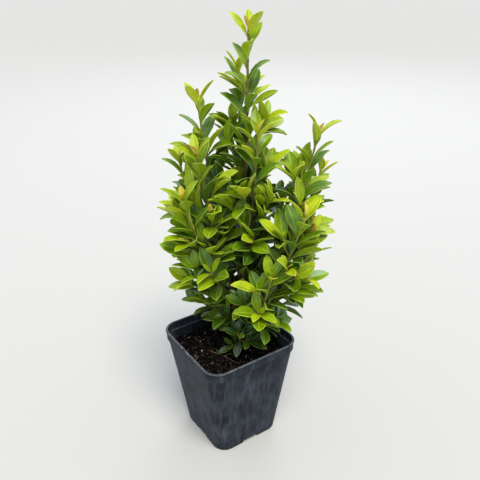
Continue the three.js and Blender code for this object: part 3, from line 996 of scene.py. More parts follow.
def branch(parent, share, length, degrees, order, number):
    """A stem that bends up from its parent, or nothing where it has no room."""
    foot, along = parent.point(share), parent.along(share)
    angle, bent_angle, girth = BRANCHING[order]
    for attempt in range(TWIG_TRIES):
        turn = degrees + attempt * 360 / TWIG_TRIES
        bend = foot + leaning(along, turn, angle) * length / 2
        tip = bend + leaning(along, turn, bent_angle) * length / 2
        stem = Stem(foot, bend, tip)
        if all(in_space(parent.shoot, stem.curve(t)) for t in TESTED):
            stem.shoot, stem.number, stem.order = parent.shoot, number, order
            stem.bare, stem.girth = 0, girth
            return stem
    return None


print("a twig's turn between tries, degrees:", 360 / TWIG_TRIES)

# %% Side twigs and twiglets
TWIG_RANGE = 0.74
TWIG_TAPER = 1.15
TWIG_SWAY = 0.15
# How far into its own stretch of a shoot each twig starts.
TWIG_OFFSET = 0.6
TURN_PER_SHOOT = 47
GOLDEN_ANGLE = 137.5
TWIGLET_LENGTH = 15
TWIGLET_SWAY = 0.35
TWIGLET_SPACING = 44
TWIGLET_OFFSET = 0.7
TWIGLET_OFFSET_SWAY = 0.3
# The first share of a stem's leafy length, which stays free of twiglets, and the room that one needs
# up to the stem's tip, as a share of its own length.
TWIGLET_FREE = 0.1
TWIGLET_ROOM = 0.4
TWIGLET_NUMBERS = 10
# More short twiglets grow in the shade, at these shares of a shoot's bare stretch.
INNER_PLACES = (0.26, 0.42, 0.56, 0.7, 0.84, 0.94)
INNER_LENGTH = 12
INNER_NUMBERS = 6

stems = list(shoots)
for shoot in shoots:
    tier = shoot.tier
    twigs = []
    for k in range(tier["twigs"]):
        share = mix(shoot.bare, TWIG_RANGE, (k + TWIG_OFFSET) / tier["twigs"])
        length = tier["twig"] * (TWIG_TAPER - share) * (1 + TWIG_SWAY * sway(shoot.shoot, k, 0))
        turn = k * GOLDEN_ANGLE + shoot.shoot * TURN_PER_SHOOT
        twigs.append(branch(shoot, share, length, turn, 1, k + 1))
    twigs = [twig for twig in twigs if twig]
    finer = []
    for parent in [shoot, *twigs]:
        leafy = (1 - parent.bare) * parent.length
        for k in range(int(leafy / TWIGLET_SPACING)):
            number = TWIGLET_NUMBERS * (1 + parent.number) + k
            stretch = k + TWIGLET_OFFSET + TWIGLET_OFFSET_SWAY * sway(shoot.shoot, number, 1)
            share = parent.bare + stretch * TWIGLET_SPACING / parent.length
            length = TWIGLET_LENGTH * (1 + TWIGLET_SWAY * sway(shoot.shoot, number, 2))
            room = (1 - share) * parent.length
            if share < parent.bare + TWIGLET_FREE or room < TWIGLET_ROOM * length:
                continue
            turn = k * GOLDEN_ANGLE + number * TURN_PER_SHOOT
            finer.append(branch(parent, share, length, turn, 2, number))
    for k, place in enumerate(INNER_PLACES if shoot.bare else ()):
        finer.append(branch(
            shoot, place * shoot.bare, INNER_LENGTH, k * GOLDEN_ANGLE, 2, INNER_NUMBERS + k))
    stems += twigs + [stem for stem in finer if stem]
print("stems:", len(stems), "by order:", [sum(s.order == k for s in stems) for k in range(3)])

# %% [markdown]
# A leaf
#
# The leaf of this holly has no spines. It is a pointed ellipse about 25 mm by 11, broadest just
# past its middle, on a stalk of two and a half millimetres, folded a little along its midrib and
# arched back. Its top is waxy, with a pale midrib in the fold and a thin pale rim, and its underside
# is duller and paler. A flat sheet with a picture would be cheap, and would look it. Instead a ring
# of eleven points runs round the blade, over the top, the two rims and the keel below, and is lofted
# from stalk to tip. That gives a closed leaf of about eighty faces, in which every face knows what
# it belongs to. Eight of them, from flat to strongly arched, are enough for a crown, because each
# copy is also stretched and turned in its own way.

# %% A leaf's rows
LEAF_ROWS = (0.0, 0.09, 0.19, 0.34, 0.53, 0.72, 0.88, 1.0)
STALK = 0.09
STALK_HALF_WIDTH = 0.02
HALF_WIDTH = 0.183
TIP_HALF_WIDTH = 0.006
WIDEST_SHIFT = 1.12
# The share of its arch by which a leaf rises at its foot, how much its fold opens towards the tip,
# and how fast the wave of its rim runs.
ARCH_START = 0.32
FOLD_OPENING = 0.35
WAVE_RUN = 9


def half_width(share, fullness):
    """A leaf's half width along its length, pointed at both ends and broadest past the middle."""
    if share <= STALK:
        return STALK_HALF_WIDTH
    u = ((share - STALK) / (1 - STALK)) ** WIDEST_SHIFT
    return max(TIP_HALF_WIDTH, HALF_WIDTH * (4 * u * (1 - u)) ** fullness)


def leaf_rows(arch, fold, twist, fullness, wave):
    """Each row's middle, side and upward directions, half width and fold."""
    rows = []
    middle = Vector((0, 0, 0))
    before = 0.0
    for share in LEAF_ROWS:
        pitch = math.radians(arch) * (ARCH_START - 0.5 * (share + before))
        middle = middle + Vector((0, math.cos(pitch), math.sin(pitch))) * (share - before)
        before = share
        pitch = math.radians(arch) * (ARCH_START - share)
        ahead = Vector((0, math.cos(pitch), math.sin(pitch)))
        upward = Vector((0, -math.sin(pitch), math.cos(pitch)))
        turned = Matrix.Rotation(math.radians(twist) * share, 3, ahead)
        lift = math.radians(fold) * (1 - FOLD_OPENING * share)
        lift += math.radians(wave) * math.sin(WAVE_RUN * share)
        rows.append((middle, turned @ Vector((1, 0, 0)), turned @ upward,
                     half_width(share, fullness), lift))
    return rows


print("half widths from stalk to tip:", [round(half_width(share, 0.9), 3) for share in LEAF_ROWS])

# %% Leaf shapes
RIB_WIDTH = 0.013
# The pale midrib takes up at most this share of the half width.
RIB_SHARE = 0.6
RIM_THICKNESS = 0.015
BLADE_THICKNESS = 0.014
KEEL = 0.034
# Between midrib and rim the blade swells by this share of its half width, at this share of the way.
BULGE = 0.05
BULGE_PLACE = 0.55
LEAF_SHARP = 42
BLADE, PALE, UNDERSIDE = 0, 1, 2
COLUMN_KINDS = (BLADE, BLADE, PALE, BLADE, BLADE, PALE, UNDERSIDE, PALE, PALE, UNDERSIDE, PALE)


def keep(piece, label, kind, values, on="POINT"):
    """Keeps a value for each point or face of a piece under a name."""
    field = "vector" if kind == "FLOAT_VECTOR" else "value"
    piece.data.attributes.new(label, kind, on).data.foreach_set(field, values)


def leaf_shape(name, *bends):
    """A closed leaf one millimetre long, its stalk at the origin and its tip along Y."""
    rings = []
    for middle, side, upward, half, lift in leaf_rows(*bends):
        rib = min(RIB_WIDTH, half * RIB_SHARE)
        rise = half * math.tan(lift)
        swell = BULGE_PLACE * half
        swollen = BULGE_PLACE * rise + BULGE * half
        section = [
            (-half, rise), (-swell, swollen), (-rib, 0.0), (rib, 0.0), (swell, swollen), (half, rise),
            (half + RIM_THICKNESS, rise - BLADE_THICKNESS), (rib, -BLADE_THICKNESS),
            (0.0, -KEEL), (-rib, -BLADE_THICKNESS), (-half - RIM_THICKNESS, rise - BLADE_THICKNESS)]
        rings.append([middle + side * x + upward * z for x, z in section])
    points, faces = loft([list(reversed(ring)) for ring in rings])
    piece = mesh_piece(name, points, faces)
    around = len(COLUMN_KINDS)
    kinds = [COLUMN_KINDS[(around - 2 - i) % around] for i in range(around)] * (len(rings) - 1)
    kinds += [UNDERSIDE] * 2
    keep(piece, "kind", "INT", kinds, on="FACE")
    piece.data.shade_smooth()
    piece.data.set_sharp_from_angle(angle=math.radians(LEAF_SHARP))
    return piece


# Arch, fold, twist, fullness of the outline and wave of the rim. All are degrees but the fullness,
# which is a power that rounds the outline where it is small.
LEAF_BENDS = [
    (30, 24, 8, 0.84, 2), (50, 28, -10, 0.88, 3), (16, 20, -5, 0.82, 2), (64, 27, 14, 0.90, 3),
    (38, 32, -16, 0.88, 4), (14, 26, 6, 0.90, 2), (-8, 36, -6, 0.98, 1), (42, 30, 12, 0.92, 3)]
# Which of them suit leaves that are grown, young and still opening.
GROWN_LEAVES = (0, 1, 2, 3, 4)
YOUNG_LEAVES = (2, 5, 7)
NEW_LEAVES = (5, 6, 7)
leaf_shelf = shelf("leaves", [leaf_shape(f"leaf_{i}", *bends) for i, bends in enumerate(LEAF_BENDS)])

# %% [markdown]
# Where the leaves sit
#
# Leaves sit singly round a stem, each 137.5 degrees on from the last, as on many plants: it keeps
# them out of each other's shade. They are large and spread wide low on a stem, and get shorter and
# steeper towards its tip, where the newest stand almost upright round the bud. Each also turns its
# face to the sky. A leaf that would cut through another leaf or a stem is turned on and steepened,
# as in the solids, and dropped if it finds no place in a few tries. The test is made with a
# simplified leaf of ten faces against the leaves near it, and with three-sided stems.

# %% Simplified leaves and stems
# The simplified leaf has no stalk: it leaves out this many rows.
STALK_ROWS = 2
# The simplified stems have this many steps from this share of their length on, and corners at these
# turns, drawn in a little so that a leaf may touch its own stem.
WALL_STEPS = 12
WALL_START = 0.05
WALL_SHARE = 0.9
WALL_TURNS = (0, 2.1, 4.2)


def outline_points(bends):
    """A simplified leaf: its left rim, midrib and right rim, row by row."""
    points = []
    for middle, side, upward, half, lift in leaf_rows(*bends)[STALK_ROWS:]:
        rise = upward * half * math.tan(lift)
        points += [middle - side * half + rise, middle, middle + side * half + rise]
    return np.array(points)


leaf_outlines = [outline_points(bends) for bends in LEAF_BENDS]
outline_faces = []
for row in range(len(LEAF_ROWS) - STALK_ROWS - 1):
    a = 3 * row
    outline_faces += [(a, a + 1, a + 4, a + 3), (a + 1, a + 2, a + 5, a + 4)]

stem_points, stem_faces = [], []
around = len(WALL_TURNS)
for stem in stems:
    shares = np.linspace(stem.bare if stem.order == 0 else WALL_START, 1, WALL_STEPS)
    for share in shares:
        middle, along = stem.point(share), stem.along(share)
        across = unit(np.cross(along, TURNS_FROM))
        other = np.cross(along, across)
        stem_points += [
            middle + WALL_SHARE * stem.radius(share) * (across * math.cos(a) + other * math.sin(a))
            for a in WALL_TURNS]
    first = len(stem_points) - around * len(shares)
    for row in range(len(shares) - 1):
        for i in range(around):
            a, b = (first + around * row + corner for corner in (i, (i + 1) % around))
            stem_faces.append((a, b, b + around, a + around))
stem_wall = BVHTree.FromPolygons([tuple(p) for p in stem_points], stem_faces)
print("faces: simplified leaf", len(outline_faces), "and all the stems", len(stem_faces))

# %% Room for a leaf
WIDTH_SWAY = 0.1
LEAF_TRIES = 6
TRY_TURN = 55
TRY_STEEPEN = 0.1
SKYWARD = 0.5
ROLL = 26
# A leaf is rooted at this share of its stem's half thickness.
LEAF_ROOT = 0.6
# The points nearest a leaf's tip, which have to be clear of the compost and the pot's lip.
OUTER_POINTS = 8
MOST_LEAVES = 6000

leaves = []
leaf_trees = []
leaf_centres = np.zeros((MOST_LEAVES, 3))


def place_leaf(stem, share, turn, angle, size, shapes, key, youth):
    """Sets a leaf on a stem where it cuts through nothing, and says whether it found room."""
    root, along = stem.point(share), stem.along(share)
    width = 1 + WIDTH_SWAY * sway(stem.shoot, key, 5)
    shape = shapes[int(chance(stem.shoot, key, 6) * len(shapes))]
    for attempt in range(LEAF_TRIES):
        direction = leaning(along, turn + attempt * TRY_TURN, angle * (1 - TRY_STEEPEN * attempt))
        inward = unit(along - direction * direction.dot(along))
        face = unit(inward + SKYWARD * (UP - direction * direction.dot(UP)))
        across = np.cross(direction, face)
        roll = math.radians(ROLL * sway(stem.shoot, key, 7 + attempt))
        across, face = (across * math.cos(roll) + face * math.sin(roll),
                        face * math.cos(roll) - across * math.sin(roll))
        basis = np.column_stack((across * width, direction, face)) * size
        foot = root + direction * stem.radius(share) * LEAF_ROOT
        outline = leaf_outlines[shape] @ basis.T + foot
        if not all(over_soil(p) for p in outline[-OUTER_POINTS:]):
            continue
        tree = BVHTree.FromPolygons([tuple(p) for p in outline], outline_faces)
        if tree.overlap(stem_wall):
            continue
        centre = outline.mean(axis=0)
        near = np.flatnonzero(np.linalg.norm(leaf_centres[:len(leaves)] - centre, axis=1) < size)
        if any(tree.overlap(leaf_trees[i]) for i in near):
            continue
        leaf_centres[len(leaves)] = centre
        leaf_trees.append(tree)
        leaves.append(dict(
            foot=foot, turn=Matrix(np.column_stack((across, direction, face)).tolist()),
            scale=(size * width, size, size), shape=shape, youth=youth, centre=centre,
            shoot=stem.shoot, order=stem.order, key=key, root=root, along=along, aside=direction,
            girth=stem.radius(share)))
        stem.nodes.append(share)
        return True
    return False


print("tries for each leaf:", LEAF_TRIES)

# %% Leaf places
LEAF_LENGTH = 28
# For shoots, twigs and twiglets: the leaves' size, their spacing, and how much of the foot is clear.
LEAF_SIZES = (1.0, 0.98, 0.84)
LEAF_SPACINGS = (8.2, 7.8, 7.4)
LEAF_CLEAR = (3, 8, 5)
LEAF_OFFSET = 0.3
LEAF_SWAY = 0.12
ANGLE_LOW = 57
ANGLE_TIP = 38
ANGLE_SWAY = 0.18
TIP_SIZE = 0.8
# Down from the tip, how many times faster than its share of the stem a leaf spreads and lengthens.
WIDENING = 1.6
LENGTHENING = 3.2
TURN_SWAY = 14
TURN_PER_STEM = 71
# The leaves within this distance of the tip are young, and the nearest third has flatter shapes.
YOUNG_STRETCH = 42
# How much wider the old leaves at the plant's foot hang.
LOW_DROOP = 1.4
# The newest leaves round each bud: share of full length, degrees off the stem.
ROSETTE = ((0.78, 52), (0.66, 40), (0.42, 26), (0.24, 13))
# The first of them that has the shape of a leaf still opening.
OPENING_FROM = 2
# How much narrower they stand on a main shoot.
LEADING_ANGLE = 0.85
ROSETTE_STEP = 1.0
ROSETTE_YOUTH = 1.1
ROSETTE_YOUTH_STEP = 0.05
# Each stem's leaves are numbered from a hundred of their own, and those round its bud from fifty.
STEM_KEYS = 100
ROSETTE_KEY = 50

skipped = 0
for stem in sorted(stems, key=lambda s: s.order):
    stem.nodes = []
    full = LEAF_LENGTH * LEAF_SIZES[stem.order] * shoots[stem.shoot].tier["leaf"]
    first = stem.bare + LEAF_CLEAR[stem.order] / stem.length
    count = int((1 - first) * stem.length / LEAF_SPACINGS[stem.order]) + 2
    for n in range(count):
        share = min(1.0, first + (1 - first) * (n + LEAF_OFFSET) / count)
        age = 1 - share
        angle = mix(ANGLE_TIP, ANGLE_LOW, min(1, WIDENING * age))
        angle *= 1 + ANGLE_SWAY * sway(stem.shoot, stem.number, n + 0.25)
        if shoots[stem.shoot].tier is TIERS["base"]:
            angle *= LOW_DROOP
        size = full * mix(TIP_SIZE, 1, min(1, LENGTHENING * age))
        size *= 1 + LEAF_SWAY * sway(stem.shoot, stem.number, n + 0.5)
        turn = n * GOLDEN_ANGLE + stem.number * TURN_PER_STEM
        turn += TURN_SWAY * sway(stem.shoot, stem.number, n)
        from_tip = age * stem.length
        shapes = YOUNG_LEAVES if from_tip < YOUNG_STRETCH / 3 else GROWN_LEAVES
        youth = max(0.0, 1 - from_tip / YOUNG_STRETCH)
        skipped += not place_leaf(
            stem, share, turn, angle, size, shapes, STEM_KEYS * stem.number + n, youth)
    for n, (part, angle) in enumerate(ROSETTE):
        if stem.order == 0:
            angle *= LEADING_ANGLE
        turn = (count + n) * GOLDEN_ANGLE + stem.number * TURN_PER_STEM
        share = min(1.0, 1 - (len(ROSETTE) - 1 - n) * ROSETTE_STEP / stem.length)
        shapes = YOUNG_LEAVES if n < OPENING_FROM else NEW_LEAVES
        skipped += not place_leaf(
            stem, share, turn, angle, full * part, shapes, STEM_KEYS * stem.number + ROSETTE_KEY + n,
            ROSETTE_YOUTH + ROSETTE_YOUTH_STEP * n)
print("leaves:", len(leaves), "without room:", skipped)

# %% [markdown]
# The leaf finish
#
# A holly leaf is glossy because of a thick wax cuticle, which mirrors the sky in a cool, bluish
# shine. Under it the green goes from near black on last year's leaves, through mid green, to the
# yellow of leaves that have just opened, with bronze on the very newest. Light passes through a
# blade, so young leaves glow where the sun is behind them. Subsurface scattering gives that in a
# closed leaf 0.4 mm thick, and a tint on the shine paints the sky's blue into its reflection without
# a blue lamp. The ages are dealt out leaf by leaf as eight tones, with painted shade mixed in: leaves
# deep in the crown, and in part those low down, get darker tones. Each tone is a joined piece with a
# plain base colour of its own, only shifted a little over each centimetre. One of them is for the
# weathered leaves at the plant's foot, which have lost their gloss and gone greyish.

# %% Leaf materials
GLOW = 0.1
GLOW_REACH = 1.2
GLOW_COLOUR = (0.5, 1.0, 0.15)
# The tint is a painted reflection: it gives the wax's shine the blue of a sky that the lamps don't have.
SKY_SHINE = "#bcd4f3"
CUTICLE_PATCH = 11
CUTICLE_GRAIN = 0.9
# The deepest patches of a blade go this far towards a dark green, and its midrib and rim and its
# underside this far towards a pale one, in their deep and bright shades. The rim's paleness is a
# painted highlight of the light along the leaf's edge; the midrib's is its own.
DARK_GREEN = "#0c1a02"
PALE_GREEN = "#cfd69a"
DEEPEST = 0.22
RIB_PALENESS = (0.28, 0.42)
UNDERSIDE_PALENESS = (0.08, 0.2)
# Their roughness and shine.
RIB_WAX = (0.5, 0.4)
UNDERSIDE_WAX = (0.55, 0.3)
# For each tone, its deep and bright shade, its roughness and how strongly its wax shines. The darker
# tones carry painted shade as well as age.
TONES = {
    "weathered": ("#37462c", "#4b5a3e", 0.50, 0.5),
    "shaded": ("#2a4306", "#3a5808", 0.28, 0.8),
    "old": ("#3e5e06", "#507406", 0.28, 0.85),
    "grown": ("#587a04", "#6b8e04", 0.30, 0.8),
    "fresh": ("#739203", "#85a404", 0.35, 0.55),
    "young": ("#8ca605", "#9fb607", 0.38, 0.45),
    "lime": ("#a6ba0a", "#bcc81c", 0.40, 0.4),
    "newest": ("#d2c63c", "#dcb04e", 0.45, 0.35),
}


def blend(code, goal, share):
    """A hex colour moved part of the way to another."""
    both = [(int(code[i:i + 2], 16), int(goal[i:i + 2], 16)) for i in (1, 3, 5)]
    return "#" + "".join(f"{round(mix(a, b, share)):02x}" for a, b in both)


def blade_material(name, deep, bright, roughness, shine):
    """A waxy leaf surface between two shades of one green."""
    material, tree, place = new_material(name)
    patch = add(tree, "ShaderNodeTexNoise",
                {"Vector": place, "Scale": per_metre(CUTICLE_PATCH), "Detail": 5.0, "Roughness": 0.72})
    colour = add(tree, "ShaderNodeValToRGB", {"Fac": patch},
                 stops=[(0.3, blend(deep, DARK_GREEN, DEEPEST)), (0.5, deep), (0.7, bright)])
    grain = add(tree, "ShaderNodeTexNoise",
                {"Vector": place, "Scale": per_metre(CUTICLE_GRAIN), "Detail": 2.0})
    wax = add(tree, "ShaderNodeBump", {"Height": grain, "Strength": 0.5, "Distance": 0.2 * MM})
    surface = add(tree, "ShaderNodeBsdfPrincipled", {
        "Base Color": colour, "Roughness": roughness, "Specular IOR Level": shine,
        "Specular Tint": linear(SKY_SHINE), "Subsurface Weight": GLOW,
        "Subsurface Scale": GLOW_REACH * MM, "Subsurface Radius": GLOW_COLOUR, "Normal": wax})
    add(tree, "ShaderNodeOutputMaterial", {"Surface": surface})
    return material


leaf_finishes = {}
for tone, (deep, bright, roughness, shine) in TONES.items():
    # The pale finish is the midrib's own colour, and on the rim a painted highlight along the leaf's
    # edge.
    ribs = [blend(bright, PALE_GREEN, share) for share in RIB_PALENESS]
    underside = [blend(bright, PALE_GREEN, share) for share in UNDERSIDE_PALENESS]
    leaf_finishes[tone] = {
        "Blade": blade_material(f"waxy holly leaf, {tone}", deep, bright, roughness, shine),
        "Pale": blade_material(f"midrib and rim, {tone}", *ribs, *RIB_WAX),
        "Underside": blade_material(f"leaf underside, {tone}", *underside, *UNDERSIDE_WAX),
    }
print("leaf materials:", 3 * len(leaf_finishes))

# %% [markdown]
# Growing the leaves
#
# The leaves' places become the points of a bare mesh, with each leaf's turn, size and shape kept
# as attributes. The tree reads them back, sets one of the eight shapes on each point, makes the
# copies real and gives the three kinds of face their finishes. Joining from arrays would give the
# same mesh, but the tree leaves the shapes and the places apart, so either can be changed alone.

# %% The leaf tree
leafing, given = shape_tree("leaves on their places", {
    "Leaves": "Collection", "Blade": "Material", "Pale": "Material", "Underside": "Material"})
read = {label: add(leafing, "GeometryNodeInputNamedAttribute", {"Name": name}, data_type=kind)
        for label, name, kind in (("Instance Index", "shape", "INT"), ("Rotation", "turn", "QUATERNION"),
                                  ("Scale", "stretch", "FLOAT_VECTOR"))}
geometry = set_out(leafing, given["Geometry"], given["Leaves"], **read)
kind = add(leafing, "GeometryNodeInputNamedAttribute", {"Name": "kind"}, data_type="INT")
for number, label in ((BLADE, "Blade"), (PALE, "Pale"), (UNDERSIDE, "Underside")):
    chosen = add(leafing, "FunctionNodeCompare", {2: kind, 3: number}, data_type="INT", operation="EQUAL")
    geometry = add(leafing, "GeometryNodeSetMaterial",
                   {"Geometry": geometry, "Selection": chosen, "Material": given[label]})
add(leafing, "NodeGroupOutput", {0: geometry})
print("leaf tree nodes:", len(leafing.nodes))

# %% [markdown]
# Light and shade in the crown
#
# A leaf's colour tells of its age, and the light it gets is painted into it as shade, so that leaves
# deep in the crown are darker. Ages are known from the leaf's place on its stem. For the light, each
# leaf looks up and outwards through a widening cone and adds up the leaves that stand in it. Ranking
# those sums gives each leaf a number from 0, the deepest shade, to 1, the open sky. Age and this
# painted shade together then deal the leaves out to the tones.

# %% The light on each leaf
CROWN_AXIS = TRUNK_FOOT[:2] + np.array((3, 4))
CONE_START = 4
CONE_WIDTH = 7
CONE_SPREAD = 0.35
CONE_LENGTH = 90
# How far outwards the cone leans, for a leaf at this distance from the crown's axis.
CONE_TILT = 0.5
TILT_REACH = 40

centres = np.array([leaf["centre"] for leaf in leaves])
weights = np.array([leaf["scale"][1] for leaf in leaves]) ** 2
looks = np.column_stack(((centres[:, :2] - CROWN_AXIS) * CONE_TILT / TILT_REACH, np.ones(len(leaves))))
looks /= np.linalg.norm(looks, axis=1)[:, None]
shade = np.zeros(len(leaves))
for i, (centre, look) in enumerate(zip(centres, looks)):
    away = centres - centre
    along = away @ look
    aside = np.linalg.norm(away - np.outer(along, look), axis=1)
    inside = (along > CONE_START) & (along < CONE_LENGTH) & (aside < CONE_WIDTH + CONE_SPREAD * along)
    shade[i] = weights[inside].sum()
ranks = np.empty(len(leaves))
ranks[np.argsort(-shade)] = np.linspace(0, 1, len(leaves))
for leaf, rank in zip(leaves, ranks):
    leaf["light"] = rank
print("over the most shaded leaf, in full leaves:", round(shade.max() / LEAF_LENGTH ** 2))

# %% Deal out the tones
TONE_SHARES = {"shaded": 0.16, "old": 0.18, "grown": 0.22, "fresh": 0.21, "young": 0.15, "lime": 0.08}
BASE_SHOOTS = len(TIERS["base"]["tips"])
LOW_SHOOTS = BASE_SHOOTS + len(TIERS["low"]["tips"])
# Freshness grows with youth, of which this share counts in full shade, with light and with height,
# is less for the shoots at the plant's foot, and has a little of chance. The light paints shade into
# the tones, and the height does so in part: leaves deep in the crown and low down get darker tones.
YOUTH_IN_SHADE = 0.25
BY_LIGHT = 0.55
BY_HEIGHT = 0.4
FULL_HEIGHT = 250
AT_THE_FOOT = 0.5
BY_CHANCE = 0.24
# Weathered leaves are older than this, and lower.
WEATHERED_YOUTH = 0.8
WEATHERED_HEIGHT = SOIL_LEVEL + 26
# The first leaf round a bud that may be bronze, and the least light for it on shoots, on twigs and
# on twiglets, which have no bronze leaves.
BRONZE_FROM = 2
BRONZE_LIGHT = (0.35, 0.8, 1.1)


def freshness_with_painted_shade(leaf):
    """How young and yellow a leaf is from its own age, darkened as painted shade by little light and in
    part by a low place.
    """
    light = leaf["light"]
    low = leaf["shoot"] < BASE_SHOOTS
    high = (leaf["centre"][2] - SOIL_LEVEL) / FULL_HEIGHT
    young = leaf["youth"] * (YOUTH_IN_SHADE + (1 - YOUTH_IN_SHADE) * light)
    by_place = BY_LIGHT * light + BY_HEIGHT * high - AT_THE_FOOT * low
    return young + by_place + BY_CHANCE * sway(leaf["shoot"], leaf["key"], 11)


def is_newest(leaf):
    """Whether it is one of the bronze leaves wrapped round the bud of a shoot in the light."""
    lit = leaf["light"] > BRONZE_LIGHT[leaf["order"]] and leaf["shoot"] >= LOW_SHOOTS
    return lit and leaf["key"] % STEM_KEYS >= ROSETTE_KEY + BRONZE_FROM


def is_weathered(leaf):
    """Whether it is an old leaf low on a shoot at the plant's foot."""
    low = leaf["shoot"] < BASE_SHOOTS and leaf["centre"][2] < WEATHERED_HEIGHT
    return low and leaf["youth"] < WEATHERED_YOUTH


dealt = {"newest": [leaf for leaf in leaves if is_newest(leaf)],
         "weathered": [leaf for leaf in leaves if is_weathered(leaf)]}
others = [leaf for leaf in leaves if not is_newest(leaf) and not is_weathered(leaf)]
others.sort(key=freshness_with_painted_shade)
start = 0
for tone, share in TONE_SHARES.items():
    count = round(share * len(others))
    dealt[tone] = others[start:start + count]
    start += count
print("leaves of each tone:", {tone: len(chosen) for tone, chosen in dealt.items()})

# %% Grow the leaves
foliage_nodes = sorted(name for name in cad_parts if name.startswith("foliage"))


def grow(name, kit, finishes, places):
    piece = mesh_piece(name, [place["foot"] for place in places], [])
    keep(piece, "shape", "INT", [place["shape"] for place in places])
    keep(piece, "turn", "QUATERNION", [x for place in places for x in place["turn"].to_quaternion()])
    keep(piece, "stretch", "FLOAT_VECTOR", [x for place in places for x in place["scale"]])
    run_tree(piece, leafing, {"Leaves": kit, **finishes})
    dress(piece, "foliage", *foliage_nodes)


for tone, finishes in leaf_finishes.items():
    grow(f"leaves_{tone}", leaf_shelf, finishes, dealt[tone])

# %% [markdown]
# The buds
#
# Next year's shoots wait as buds: a pointed one of two and a half millimetres at each tip, bronze
# like the leaves wrapped round it, and a green one of one and a half where each leaf meets its stem.
# They are small, but they are what gives a twig its knuckles. Each could be a mesh of its own, but
# the leaf tree sets out any shapes, so it sets these too: one bud of a few faces, a point for each,
# and its own finishes.

# %% Buds
BUD_ROWS = ((0.0, 0.26), (0.3, 0.36), (0.7, 0.2), (1.0, 0.02))
BUD_SIDES = 5
BUD_WAX = (0.5, 0.4)
TIP_BUD = 2.6
AXIL_BUD = 1.5
# An axil bud sits this share of the stem's half thickness out, and leans this far to its leaf.
AXIL_OUT = 0.8
AXIL_LEAN = 0.7

bud_rings = [[(r * math.cos(a), z, r * math.sin(a))
              for a in np.linspace(2 * math.pi, 0, BUD_SIDES + 1)[:-1]] for z, r in BUD_ROWS]
bud = mesh_piece("bud", *loft(bud_rings))
keep(bud, "kind", "INT", [BLADE] * len(bud.data.polygons), on="FACE")
bud.data.shade_smooth()
bud_shelf = shelf("buds", [bud])


def bud_place(foot, direction, size):
    """A bud's place, pointing along a direction."""
    direction = unit(direction)
    across = unit(np.cross(direction, TURNS_FROM))
    turn = Matrix(np.column_stack((across, direction, np.cross(across, direction))).tolist())
    return dict(foot=foot, turn=turn, scale=(size, size, size), shape=0)


def bud_finish(name, deep, bright):
    """Bud scales, which are all one kind of face."""
    scales = blade_material(name, deep, bright, *BUD_WAX)
    return {"Blade": scales, "Pale": scales, "Underside": scales}


tip_buds = [bud_place(stem.point(1.0), stem.along(1.0), TIP_BUD * LEAF_SIZES[stem.order])
            for stem in stems]
axil_buds = [bud_place(leaf["root"] + leaf["aside"] * leaf["girth"] * AXIL_OUT,
                       leaf["along"] + AXIL_LEAN * leaf["aside"],
                       AXIL_BUD * LEAF_SIZES[leaf["order"]])
             for leaf in leaves if leaf["key"] % STEM_KEYS < ROSETTE_KEY]
grow("tip_buds", bud_shelf, bud_finish("bud scales, bronze", "#94702a", "#ae7434"), tip_buds)
grow("axil_buds", bud_shelf, bud_finish("bud scales, green", "#6b7416", "#8f8c26"), axil_buds)

# %% [markdown]
# The stems and their bark
#
# The trunk is brown and slightly furrowed. A shoot is brown at its foot, then olive, then straw
# green towards its tip, though the tallest stay brownish all the way, and it swells at each leaf.
# All are tubes along a path whose thickness changes, which a loft could give too, but a curve does
# it with less: the stems' points become a mesh of edges with a girth and an age on each, and a tree
# turns it into curves, sweeps a circle along them and pushes the skin in and out by noise for the
# furrows.

# %% The stem tree
# Places are squeezed along Z, which stretches the furrows up the stem.
FURROW_RUN = 0.3

stemming, given = shape_tree("stems from their lines", {
    "Sides": "Int", "Furrow": "Float", "Furrow size": "Float", "Bark": "Material"})
girth = add(stemming, "GeometryNodeInputNamedAttribute", {"Name": "girth"}, data_type="FLOAT")
paths = add(stemming, "GeometryNodeMeshToCurve", {"Mesh": given["Geometry"]})
circle = add(stemming, "GeometryNodeCurvePrimitiveCircle",
             {"Resolution": given["Sides"], "Radius": 1.0})
tubes = add(stemming, "GeometryNodeCurveToMesh",
            {"Curve": paths, "Profile Curve": circle, "Scale": girth, "Fill Caps": True})
squeeze = add(stemming, "ShaderNodeVectorMath",
              {0: add(stemming, "GeometryNodeInputPosition"), 1: (1.0, 1.0, FURROW_RUN)},
              operation="MULTIPLY")
furrows = add(stemming, "ShaderNodeTexNoise",
              {"Vector": squeeze, "Scale": given["Furrow size"], "Detail": 3.0})
centred = add(stemming, "ShaderNodeMath", {0: furrows, 1: 0.5}, operation="SUBTRACT")
depth = add(stemming, "ShaderNodeMath", {0: centred, 1: given["Furrow"]}, operation="MULTIPLY")
push = add(stemming, "ShaderNodeVectorMath", {0: add(stemming, "GeometryNodeInputNormal")},
           operation="SCALE")
stemming.links.new(depth, push.node.inputs["Scale"])
rough = add(stemming, "GeometryNodeSetPosition", {"Geometry": tubes, "Offset": push})
smooth = add(stemming, "GeometryNodeSetShadeSmooth", {"Geometry": rough})
whole = add(stemming, "GeometryNodeRealizeInstances", {"Geometry": smooth})
add(stemming, "NodeGroupOutput",
    {0: add(stemming, "GeometryNodeSetMaterial", {"Geometry": whole, "Material": given["Bark"]})})
print("stem tree nodes:", len(stemming.nodes))

# %% [markdown]
# The bark finish
#
# Young bark is smooth and faintly glossy, and old bark is dry and matt. The colour could go by
# height, but it follows the age that each point of a stem carries, so it turns along the stem and
# not up the picture. Small pale lenticels are drawn about a millimetre apart, rather larger than
# life so that they show.

# %% Bark materials
LENTICEL = 1.3
BARK_GRAIN = 0.8
BARK_RUN = 0.25
# The age's colour drifts over patches of this size, by this much to either side.
DRIFT_PATCH = 6
DRIFT = 0.16
